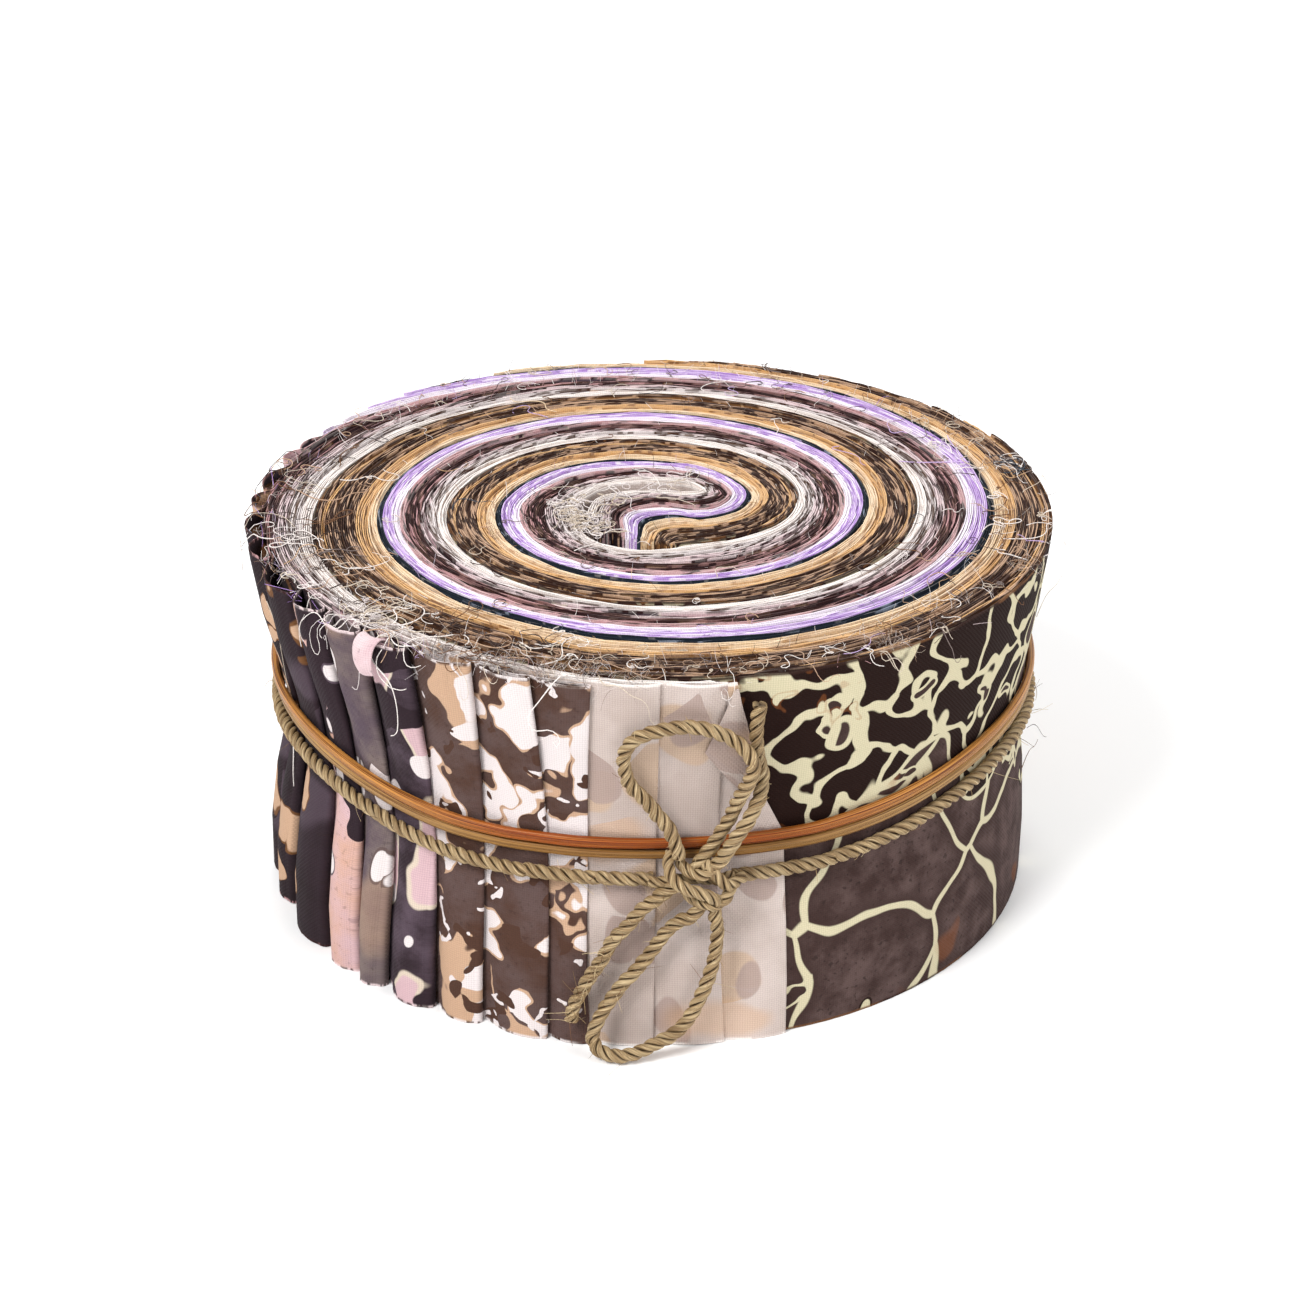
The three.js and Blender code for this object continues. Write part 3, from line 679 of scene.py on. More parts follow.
def strip_heights(strip, run, rows, edge_wander):
    """The height of each point of a strip: its row's, with the upper edge moved by smooth noise
    along the cloth and the lower edge lifted a little by slower noise."""
    level = np.random.default_rng(100 + strip).uniform(*EDGE_LEVELS)
    top = level + edge_wander * sum(
        share * wander(run, period, strip + seed) for share, period, seed in EDGE_WAVES)
    bottom = FOOT["lift"] * (1 + wander(run, FOOT["wave"], strip + FOOT["seed"]))
    up = rows[None, :] + top[:, None] * smooth(rows, EDGE_FROM, STRIP_WIDTH)[None, :]
    return up + bottom[:, None] * (1 - smooth(rows, 0, FOOT["to"]))[None, :]


def make_strip(strip, material, lining, sizes):
    """One strip, folded in half: a slab of cloth on both sides of its line, closed at its raw
    edges. Its UV is the flat cloth in metres. The last strip also has its turned corner, and one
    loose strip the rolled lip, which shows the cloth's other face."""
    rows = STRIP_ROWS
    cloth = millimetres(sizes.cloth)
    line = strip_line(strip, rows, cloth)
    along = np.gradient(line, axis=0)
    along /= np.maximum(np.linalg.norm(along, axis=-1), 1e-9)[..., None]
    left = np.stack([-along[..., 1], along[..., 0]], axis=-1)
    half = cloth / 2 * layer_spacing(line)[:, None, None]
    middle = len(rows) // 2
    run = np.concatenate([[0], np.cumsum(np.linalg.norm(np.diff(line[:, middle], axis=0), axis=1))])
    up = strip_heights(strip, run, rows, millimetres(sizes.edge_wander))
    outer = np.concatenate([line + left * half, up[..., None]], axis=-1)
    inner = np.concatenate([line - left * half, up[..., None]], axis=-1)
    ring = np.concatenate([outer, inner[:, ::-1]], axis=1)
    stations, sides = ring.shape[:2]
    faces = ring_faces(stations, sides)[:-2]
    cap = np.arange(len(rows) - 1)
    for first, flip in ((0, False), ((stations - 1) * sides, True)):
        quads = np.stack([cap, sides - 1 - cap, sides - 2 - cap, cap + 1], axis=-1) + first
        faces += (quads[:, ::-1] if flip else quads).tolist()
    u = np.broadcast_to(run[:, None] + PRINT_SHIFT * strip, (stations, sides))
    v = np.concatenate([rows, rows[::-1]])[None, :] + np.zeros((stations, 1))
    uv = np.stack([u, v], axis=-1).reshape(-1, 2) * MM
    points = ring.reshape(-1, 3)
    extra = {STRIPS - 1: turned_corner, ROLLED_LIP["strip"]: rolled_lip}.get(strip)
    if extra:
        more_points, more_faces, more_uv = extra(len(points), cloth)
        points = np.concatenate([points, more_points])
        faces += more_faces
        uv = np.concatenate([uv, more_uv])
    piece = new_piece(f"strip_{strip + 1:02d}", points, faces, material, uv, sharp=CLOTH_SHARP_ANGLE)
    if extra is rolled_lip:
        piece.data.materials.append(lining)
        for face in piece.data.polygons[-len(more_faces):]:
            face.material_index = 1
    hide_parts("wound_strips")
    return piece


def slab(outer, inner, first):
    """Two like grids of points as the faces of one thin closed piece: its points and faces."""
    ring = np.concatenate([outer, inner[:, ::-1]], axis=1)
    faces = [face[::-1] for face in ring_faces(*ring.shape[:2], False, first)]
    return ring.reshape(-1, 3), faces


def turned_corner(first, cloth):
    """The corner of the last strip turned over its face: a thin slab between the free edge and
    the corner's other two sides, a little domed off the cloth under it."""
    rows = np.linspace(FLAP_EDGE[0, 0], FLAP_EDGE[-1, 0], TURNED_CORNER["rows"])
    across = np.linspace(0, 1, TURNED_CORNER["columns"])
    near = np.interp(rows, FLAP_EDGE[:, 0], FLAP_EDGE[:, 1])
    far = np.interp(rows, LAST_EDGE[:, 0], LAST_EDGE[:, 1]) + TURNED_CORNER["overlap"]
    angle = near[:, None] + (far - near)[:, None] * across[None, :]
    up = np.broadcast_to(rows[:, None], angle.shape)
    rise = np.sin(np.pi * (rows - rows[0]) / np.ptp(rows))[:, None]
    dome = TURNED_CORNER["dome"] * np.sin(np.pi * across)[None, :] * rise
    off = pressed(LAST_PUFF, angle, up) + TURNED_CORNER["off"] + dome
    side = side_radius(angle, up) + off
    points, faces = slab(polar(angle, side + cloth, up), polar(angle, side, up), first)
    start = TURNED_CORNER["cloth"]
    down = start[1] - TURNED_CORNER["scale"] * rows[:, None]
    uv = np.stack(np.broadcast_arrays(np.radians(angle) * RIM_RADIUS + start[0], down), axis=-1)
    uv = np.concatenate([uv, uv[:, ::-1]], axis=1).reshape(-1, 2) * MM
    return points, faces, uv


def rolled_lip(first, cloth):
    """The rolled lip of a pleat: its profile off the side and up, carried across a few degrees and
    narrowed towards its lower end."""
    profile = even_spline(ROLLED_LIP["profile"], ROLLED_LIP["step"])
    across = np.linspace(-1, 1, ROLLED_LIP["columns"])
    narrow = 1 - ROLLED_LIP["taper"] * np.linspace(0, 1, len(profile)) ** 2
    angle = ROLLED_LIP["angle"] + ROLLED_LIP["half"] * narrow[:, None] * across[None, :]
    turn = np.gradient(profile, axis=0)
    turn /= np.linalg.norm(turn, axis=1)[:, None]
    bow = ROLLED_LIP["bow"] * (1 - across**2)[None, :]
    sides = []
    for lift in (cloth / 2, -cloth / 2):
        off = profile[:, 0] - turn[:, 1] * lift
        up = profile[:, 1] + turn[:, 0] * lift
        height = np.broadcast_to(up[:, None], angle.shape)
        sides.append(polar(angle, RIM_RADIUS + off[:, None] + bow, height))
    points, faces = slab(sides[1], sides[0], first)
    start = ROLLED_LIP["cloth"]
    along = start[1] + ROLLED_LIP["step"] * np.arange(len(profile))[:, None]
    uv = np.stack(np.broadcast_arrays(start[0] + np.radians(angle) * RIM_RADIUS, along), axis=-1)
    uv = np.concatenate([uv, uv[:, ::-1]], axis=1).reshape(-1, 2) * MM
    return points, faces, uv


# Dark scene-linear shades: specks, the painted shade of the weave's hollows and threads' shadows
SPECK = (0.02, 0.012, 0.01, 1)
WEAVE_HOLLOW_SHADE = (0.01, 0.008, 0.008, 1)
THREAD_SHADOW = (0.08, 0.06, 0.05, 1)

# How much of a print the raw threads of a cut edge cover, and how dark the painted shade in the weave's
# hollows is
EDGE_SHARE = 0.92
HOLLOW_SHADE_SHARE = 0.22


class Nodes:
    """Adds a tree's nodes by short calls: each value is a socket, a number or a colour."""

    def __init__(self, tree):
        self.tree = tree

    def put(self, target, value):
        """Link a socket to the target, or set the target's own value."""
        if isinstance(value, bpy.types.NodeSocket):
            self.tree.links.new(value, target)
        else:
            target.default_value = value

    def add(self, kind, inputs=(), **settings):
        """A node of this kind with its settings and inputs."""
        node = self.tree.nodes.new(kind)
        for key, value in settings.items():
            setattr(node, key, value)
        for key, value in dict(inputs).items():
            self.put(node.inputs[key], value)
        return node

    def math(self, operation, a, b=0.0, c=0.0):
        """One number worked out from up to three."""
        return self.add("ShaderNodeMath", {0: a, 1: b, 2: c}, operation=operation).outputs[0]

    def vector(self, operation, a, b=(0, 0, 0)):
        """One vector, or its length, worked out from up to two."""
        node = self.add("ShaderNodeVectorMath", {0: a, 1: b}, operation=operation)
        return node.outputs["Value" if operation == "LENGTH" else "Vector"]

    def scaled(self, a, factor):
        """A vector times a number."""
        node = self.add("ShaderNodeVectorMath", {0: a, "Scale": factor}, operation="SCALE")
        return node.outputs["Vector"]

    def step(self, value, low, high):
        """0 below low, 1 above high and a soft step between them."""
        node = self.add(
            "ShaderNodeMapRange", {"Value": value, "From Min": low, "From Max": high},
            interpolation_type="SMOOTHSTEP")
        return node.outputs["Result"]

    def mix(self, factor, a, b):
        """One colour between two others."""
        node = self.add("ShaderNodeMix", data_type="RGBA")
        self.put(node.inputs["Factor"], factor)
        self.put(node.inputs[6], a)
        self.put(node.inputs[7], b)
        return node.outputs[2]

    def blend(self, factor, a, b):
        """One number between two others."""
        node = self.add("ShaderNodeMix", data_type="FLOAT")
        self.put(node.inputs["Factor"], factor)
        self.put(node.inputs[2], a)
        self.put(node.inputs[3], b)
        return node.outputs[0]

    def noise(self, vector, scale, detail=2.0, rough=0.5):
        """A noise node that reads this place."""
        return self.add(
            "ShaderNodeTexNoise",
            {"Vector": vector, "Scale": scale, "Detail": detail, "Roughness": rough})


def new_group(name, inputs, outputs):
    """A shader group with named number or vector inputs and named outputs."""
    group = bpy.data.node_groups.new(name, "ShaderNodeTree")
    for key, default in inputs.items():
        kind = "NodeSocketVector" if default is None else "NodeSocketFloat"
        socket = group.interface.new_socket(key, in_out="INPUT", socket_type=kind)
        if default is not None:
            socket.default_value = default
    for key, kind in outputs.items():
        group.interface.new_socket(key, in_out="OUTPUT", socket_type=f"NodeSocket{kind}")
    nodes = Nodes(group)
    start = group.nodes.new("NodeGroupInput").outputs
    end = group.nodes.new("NodeGroupOutput").inputs
    return nodes, start, end


def weave_group():
    """Plain weave: warp and weft threads as rounded ribs, one over the other by turns."""
    n, start, end = new_group(
        "plain_weave", {"Vector": None, "Pitch": THREAD_PITCH}, {"Height": "Float", "Slub": "Float"})
    by_thread = n.scaled(start["Vector"], n.math("DIVIDE", 1.0, start["Pitch"]))
    split = n.add("ShaderNodeSeparateXYZ", {0: by_thread})
    rib_u = n.math("ABSOLUTE", n.math("SINE", n.math("MULTIPLY", split.outputs[0], math.pi)))
    rib_v = n.math("ABSOLUTE", n.math("SINE", n.math("MULTIPLY", split.outputs[1], math.pi)))
    cells = n.math("ADD", n.math("FLOOR", split.outputs[0]), n.math("FLOOR", split.outputs[1]))
    over = n.math("PINGPONG", cells, 1.0)
    n.put(end["Height"], n.blend(over, rib_u, rib_v))
    long_u = n.vector("MULTIPLY", by_thread, (0.06, 1.0, 1.0))
    long_v = n.vector("MULTIPLY", by_thread, (1.0, 0.06, 1.0))
    slub = n.blend(0.5, n.noise(long_u, 1.0).outputs[0], n.noise(long_v, 1.0).outputs[0])
    n.put(end["Slub"], slub)


def print_group():
    """Wax-resist figures on cloth. The place is pushed about by smooth noise, then cut into
    uneven cells: lines run between cells, some cells are patches, and blots stand inside cells."""
    n, start, end = new_group(
        "wax_print",
        {"Vector": None, "Cell Width": 14.0, "Cell Height": 14.0, "Warp": 6.0, "Warp Size": 16.0,
         "Line": 1.2, "Patch Share": 0.3, "Blot": 0.3, "Blot Share": 0.6, "Rim": 0.08, "Soft": 0.015},
        {"Lines": "Float", "Patches": "Float", "Blots": "Float", "Rims": "Float", "Sides": "Float"})
    push = n.noise(start["Vector"], n.math("DIVIDE", 1.0, start["Warp Size"]), 1.5)
    moved = n.vector("SUBTRACT", push.outputs["Color"], (0.5, 0.5, 0.5))
    moved = n.scaled(moved, n.math("MULTIPLY", start["Warp"], 4.0))
    place = n.vector("ADD", start["Vector"], moved)
    size = n.add("ShaderNodeCombineXYZ", {0: start["Cell Width"], 1: start["Cell Height"], 2: 1.0})
    cells = n.vector("DIVIDE", place, size.outputs[0])
    near = n.add("ShaderNodeTexVoronoi", {"Vector": cells, "Scale": 1.0}, voronoi_dimensions="2D")
    edge = n.add(
        "ShaderNodeTexVoronoi", {"Vector": cells, "Scale": 1.0},
        voronoi_dimensions="2D", feature="DISTANCE_TO_EDGE")
    kind = n.add("ShaderNodeSeparateColor", {0: near.outputs["Color"]})
    width = n.math("DIVIDE", start["Line"], n.math("MULTIPLY", start["Cell Width"], 2.0))
    lines = n.step(edge.outputs["Distance"], width, n.math("MULTIPLY", width, 0.6))
    n.put(end["Lines"], n.math("MULTIPLY", lines, n.math("GREATER_THAN", width, 0.001)))
    n.put(end["Sides"], n.step(edge.outputs["Distance"], 0.22, 0.03))
    patch = n.math("LESS_THAN", kind.outputs[0], start["Patch Share"])
    inside = n.step(edge.outputs["Distance"], width, n.math("ADD", width, 0.03))
    n.put(end["Patches"], n.math("MULTIPLY", patch, inside))
    uneven = n.math("MULTIPLY_ADD", kind.outputs[1], 0.8, 0.6)
    size = n.math("MULTIPLY", start["Blot"], uneven)
    chosen = n.math("LESS_THAN", kind.outputs[2], start["Blot Share"])
    far = near.outputs["Distance"]
    less = n.math("MULTIPLY", start["Soft"], -1.0)
    blot = n.step(n.math("SUBTRACT", size, far), less, start["Soft"])
    rimmed = n.step(n.math("SUBTRACT", n.math("ADD", size, start["Rim"]), far), less, start["Soft"])
    n.put(end["Blots"], n.math("MULTIPLY", blot, chosen))
    n.put(end["Rims"], n.math("MULTIPLY", rimmed, chosen))


def edge_group():
    """The cut edge of a strip: a band along its two long sides, and light dashes that run round
    the roll and are as wide as two or three layers of cloth. In the core they follow the strip."""
    n, start, end = new_group(
        "cut_edge", {"Vector": None, "Place": None, "Width": STRIP_WIDTH, "Band": 0.6, "Light": 0.5},
        {"Edge": "Float", "Streak": "Float", "Fleck": "Float"})
    split = n.add("ShaderNodeSeparateXYZ", {0: start["Vector"]})
    half = n.math("MULTIPLY", start["Width"], 0.5)
    away = n.math("ABSOLUTE", n.math("SUBTRACT", split.outputs[1], half))
    n.put(end["Edge"], n.step(away, n.math("SUBTRACT", half, start["Band"]), n.math("SUBTRACT", half, 0.1)))
    flat = n.vector("MULTIPLY", start["Place"], (1, 1, 0))
    reach = n.vector("LENGTH", flat)
    ring = n.add("ShaderNodeCombineXYZ", {2: n.math("DIVIDE", reach, 0.4)}).outputs[0]
    around = n.vector("ADD", n.scaled(n.vector("NORMALIZE", flat), 5.0), ring)
    along = n.add("ShaderNodeCombineXYZ", {0: n.math("MULTIPLY", split.outputs[0], 0.22)}).outputs[0]
    outside = n.step(reach, 17.0, 22.0)
    for output, fine, soft in (("Streak", 1.0, 0.025), ("Fleck", 1.7, 0.04)):
        noise = n.blend(
            outside, n.noise(n.scaled(along, fine), 1.0, 1.5, 0.6).outputs[0],
            n.noise(n.scaled(around, fine), 1.0, 1.5, 0.6).outputs[0])
        level = n.math("ADD", noise, n.math("MULTIPLY", n.math("SUBTRACT", start["Light"], 0.5), 0.42))
        n.put(end[output], n.step(level, 0.5 - soft, 0.5 + soft))


def mottle_group():
    """Uneven dye: broad soft clouds, and small dark specks."""
    n, start, end = new_group(
        "uneven_dye", {"Vector": None, "Cloud": 9.0, "Speck": 0.9}, {"Clouds": "Float", "Specks": "Float"})
    clouds = n.noise(start["Vector"], n.math("DIVIDE", 1.0, start["Cloud"]), 4.0, 0.62)
    n.put(end["Clouds"], n.step(clouds.outputs[0], 0.32, 0.68))
    specks = n.noise(start["Vector"], n.math("DIVIDE", 1.0, start["Speck"]), 1.0)
    n.put(end["Specks"], n.step(specks.outputs[0], 0.6, 0.72))


def fibre_group():
    """Long fibres: thin streaks along the first direction of the place, fine and coarse."""
    n, start, end = new_group(
        "long_fibres", {"Vector": None, "Length": 14.0, "Thickness": 0.16},
        {"Streak": "Float", "Band": "Float"})
    size = n.add("ShaderNodeCombineXYZ", {0: start["Length"], 1: start["Thickness"], 2: start["Thickness"]})
    place = n.vector("DIVIDE", start["Vector"], size.outputs[0])
    n.put(end["Streak"], n.noise(place, 1.0, 3.0, 0.6).outputs[0])
    n.put(end["Band"], n.noise(n.scaled(place, 0.22), 1.0, 2.0).outputs[0])


def linear(colour):
    """A six-figure screen colour as scene-linear red, green, blue."""
    parts = [int(colour[i:i + 2], 16) / 255 for i in (0, 2, 4)]
    return tuple(c / 12.92 if c <= 0.04045 else ((c + 0.055) / 1.055) ** 2.4 for c in parts)


def rgba(colours, key):
    """One of the roll's colours with its alpha."""
    return (*getattr(colours, key), 1.0)


def new_material(name, roughness):
    """A material with its nodes and its Principled shader."""
    material = bpy.data.materials.new(name)
    material.use_nodes = True
    nodes = Nodes(material.node_tree)
    shader = material.node_tree.nodes["Principled BSDF"]
    shader.inputs["Roughness"].default_value = roughness
    return material, nodes, shader


def bumped(n, shader, height, strength, distance):
    """Lets a height lean the shader's normal."""
    bump = n.add("ShaderNodeBump", {"Strength": strength, "Distance": distance, "Height": height})
    n.put(shader.inputs["Normal"], bump.outputs[0])


def millimetre_place(n):
    """The piece's own UV map in millimetres."""
    uv = n.add("ShaderNodeUVMap", uv_map="cloth")
    return n.scaled(uv.outputs["UV"], 1 / MM)


def placed_group(n, name, values):
    """The outputs of a shader group placed with its own values."""
    node = n.add("ShaderNodeGroup", node_tree=bpy.data.node_groups[name])
    for key, value in values.items():
        n.put(node.inputs[key], value)
    return node.outputs


def laid_figures(n, place, shade, layers, colours):
    """The shade with each layer of figures laid over it in order."""
    for layer in layers:
        moved = n.vector("ADD", place, layer["offset"])
        figures = placed_group(n, "wax_print", {"Vector": moved, **layer["inputs"]})
        for output, key, share in layer["show"]:
            shade = n.mix(n.math("MULTIPLY", figures[output], share), shade, rgba(colours, key))
    return shade


def print_material(name, spec, colours, sizes):
    """A printed cotton: two ground shades in clouds, the figures laid over them in order, other
    figures above a wavering height, the cut edges' dashes, painted shade in the weave's hollows,
    and the weave in the bump."""
    spec = {**PRINT_DEFAULTS, **spec}
    material, n, shader = new_material(f"{name}_cotton", 0.9)
    shader.inputs["Sheen Weight"].default_value = 0.02
    shader.inputs["Specular IOR Level"].default_value = 0.12
    place = millimetre_place(n)
    dye = placed_group(n, "uneven_dye", {"Vector": place, "Cloud": spec["cloud"]})
    shade = n.mix(dye["Clouds"], rgba(colours, spec["ground"][0]), rgba(colours, spec["ground"][1]))
    shade = n.mix(n.math("MULTIPLY", dye["Specks"], spec["speck"]), shade, SPECK)
    shade = laid_figures(n, place, shade, spec["layers"], colours)
    if "upper" in spec:
        upper = spec["upper"]
        above = laid_figures(n, place, rgba(colours, upper["ground"]), upper["layers"], colours)
        height = n.add("ShaderNodeSeparateXYZ", {0: place}).outputs[1]
        wave = n.noise(place, 1 / upper["wave"], 1.5).outputs[0]
        field = n.math("MULTIPLY_ADD", n.math("SUBTRACT", wave, 0.5), upper["swing"], height)
        field = n.math("SUBTRACT", field, upper["from"])
        shade = n.mix(n.step(field, -0.3, 0.3), shade, above)
        outline = n.step(n.math("ABSOLUTE", field), upper["outline"], upper["outline"] * 0.6)
        shade = n.mix(outline, shade, rgba(colours, upper["ground"]))
    solid = n.scaled(n.add("ShaderNodeTexCoord").outputs["Object"], 1 / MM)
    edge = placed_group(n, "cut_edge", {
        "Vector": place, "Place": solid, "Width": STRIP_WIDTH, "Light": spec["light"]})
    dark, light = (rgba(colours, key) for key in spec["edge"])
    streak = n.mix(edge["Streak"], dark, light)
    fleck = n.math("MULTIPLY", edge["Fleck"], spec["fleck"])
    streak = n.mix(fleck, streak, rgba(colours, "thread_white"))
    shade = n.mix(n.math("MULTIPLY", edge["Edge"], EDGE_SHARE), shade, streak)
    weave = placed_group(n, "plain_weave", {"Vector": place, "Pitch": millimetres(sizes.thread_pitch)})
    # painted shade: the weave's hollows are darkened in the base colour
    hollow_shade = n.math("MULTIPLY", n.step(weave["Height"], 0.7, 0.15), HOLLOW_SHADE_SHARE)
    shade = n.mix(hollow_shade, shade, WEAVE_HOLLOW_SHADE)
    n.put(shader.inputs["Base Color"], shade)
    bumped(n, shader, n.math("MULTIPLY_ADD", weave["Slub"], 0.8, weave["Height"]), 0.4, 0.12 * MM)
    return material


def cord_material(colours):
    """Twisted grass: straw shades in streaks along each strand, and painted shade in the grooves between.
    """
    material, n, shader = new_material("twisted_grass", 0.6)
    place = n.scaled(n.add("ShaderNodeUVMap", uv_map="cloth").outputs["UV"], 100.0)
    fibres = placed_group(n, "long_fibres", {"Vector": place, "Length": 3.2, "Thickness": 0.18})
    shade = n.mix(n.step(fibres["Streak"], 0.38, 0.6), rgba(colours, "grass_dark"), rgba(colours, "grass"))
    shade = n.mix(n.step(fibres["Streak"], 0.54, 0.68), shade, rgba(colours, "grass_light"))
    band = n.math("MULTIPLY", n.step(fibres["Band"], 0.45, 0.7), 0.5)
    shade = n.mix(band, shade, rgba(colours, "grass_light"))
    # painted shade: the grooves between the strands are darkened in the base colour by the shade mask
    crest = n.add("ShaderNodeAttribute", attribute_name="shade").outputs["Fac"]
    shade = n.mix(crest, rgba(colours, "painted_groove_shade"), shade)
    n.put(shader.inputs["Base Color"], shade)
    bumped(n, shader, fibres["Streak"], 0.7, 0.3 * MM)
    return material


def cane_material(name, colours, keys, gloss):
    """Split cane: thin streaks along it, one colour in front that fades to a paler one at the
    sides and back, and a clear skin."""
    material, n, shader = new_material(name, gloss)
    shader.inputs["Coat Weight"].default_value = 0.08
    shader.inputs["Coat Roughness"].default_value = 0.15
    shader.inputs["Specular IOR Level"].default_value = 0.2
    place = millimetre_place(n)
    fibres = placed_group(n, "long_fibres", {"Vector": place, "Length": 34.0, "Thickness": 0.13})
    dark, middle, light = (rgba(colours, key) for key in keys)
    around = n.add("ShaderNodeSeparateXYZ", {0: place}).outputs[0]
    away = n.math("ABSOLUTE", n.math("SUBTRACT", around, CANE_FRONT))
    pale = n.step(away, *CANE_FADE)
    body = n.mix(pale, middle, light)
    shade = n.mix(n.step(fibres["Streak"], 0.56, 0.4), body, dark)
    shade = n.mix(n.math("MULTIPLY", n.step(fibres["Streak"], 0.56, 0.68), 0.7), shade, light)
    band = n.math("MULTIPLY", n.step(fibres["Band"], 0.5, 0.66), 0.45)
    shade = n.mix(band, shade, light)
    n.put(shader.inputs["Base Color"], shade)
    bumped(n, shader, fibres["Streak"], 0.6, 0.3 * MM)
    return material


def thread_material():
    """Loose cotton thread: each thread's own shade, with a fine twist in the bump."""
    material, n, shader = new_material("cotton_thread", 0.9)
    shade = n.add("ShaderNodeAttribute", attribute_name="shade")
    place = n.add("ShaderNodeTexCoord").outputs["Object"]
    fleck = n.noise(place, 3200.0, 2.0)
    dull = n.math("MULTIPLY", n.step(fleck.outputs[0], 0.4, 0.7), 0.3)
    n.put(shader.inputs["Base Color"], n.mix(dull, shade.outputs["Color"], THREAD_SHADOW))
    bumped(n, shader, fleck.outputs[0], 0.4, 0.1 * MM)
    return material


def motif(width, height, warp, show, offset=(0, 0), **more):
    """One layer of figures: its cells, the wax print's other inputs in small letters, and which of
    its parts show in which colour, as part, colour and share."""
    parts = [(*part, 1.0)[:3] for part in show]
    inputs = {key.replace("_", " ").title(): value for key, value in more.items()}
    return {
        "inputs": {"Cell Width": width, "Cell Height": height, "Warp": warp, "Line": 0.0, **inputs},
        "offset": (*offset, 0), "show": parts,
    }


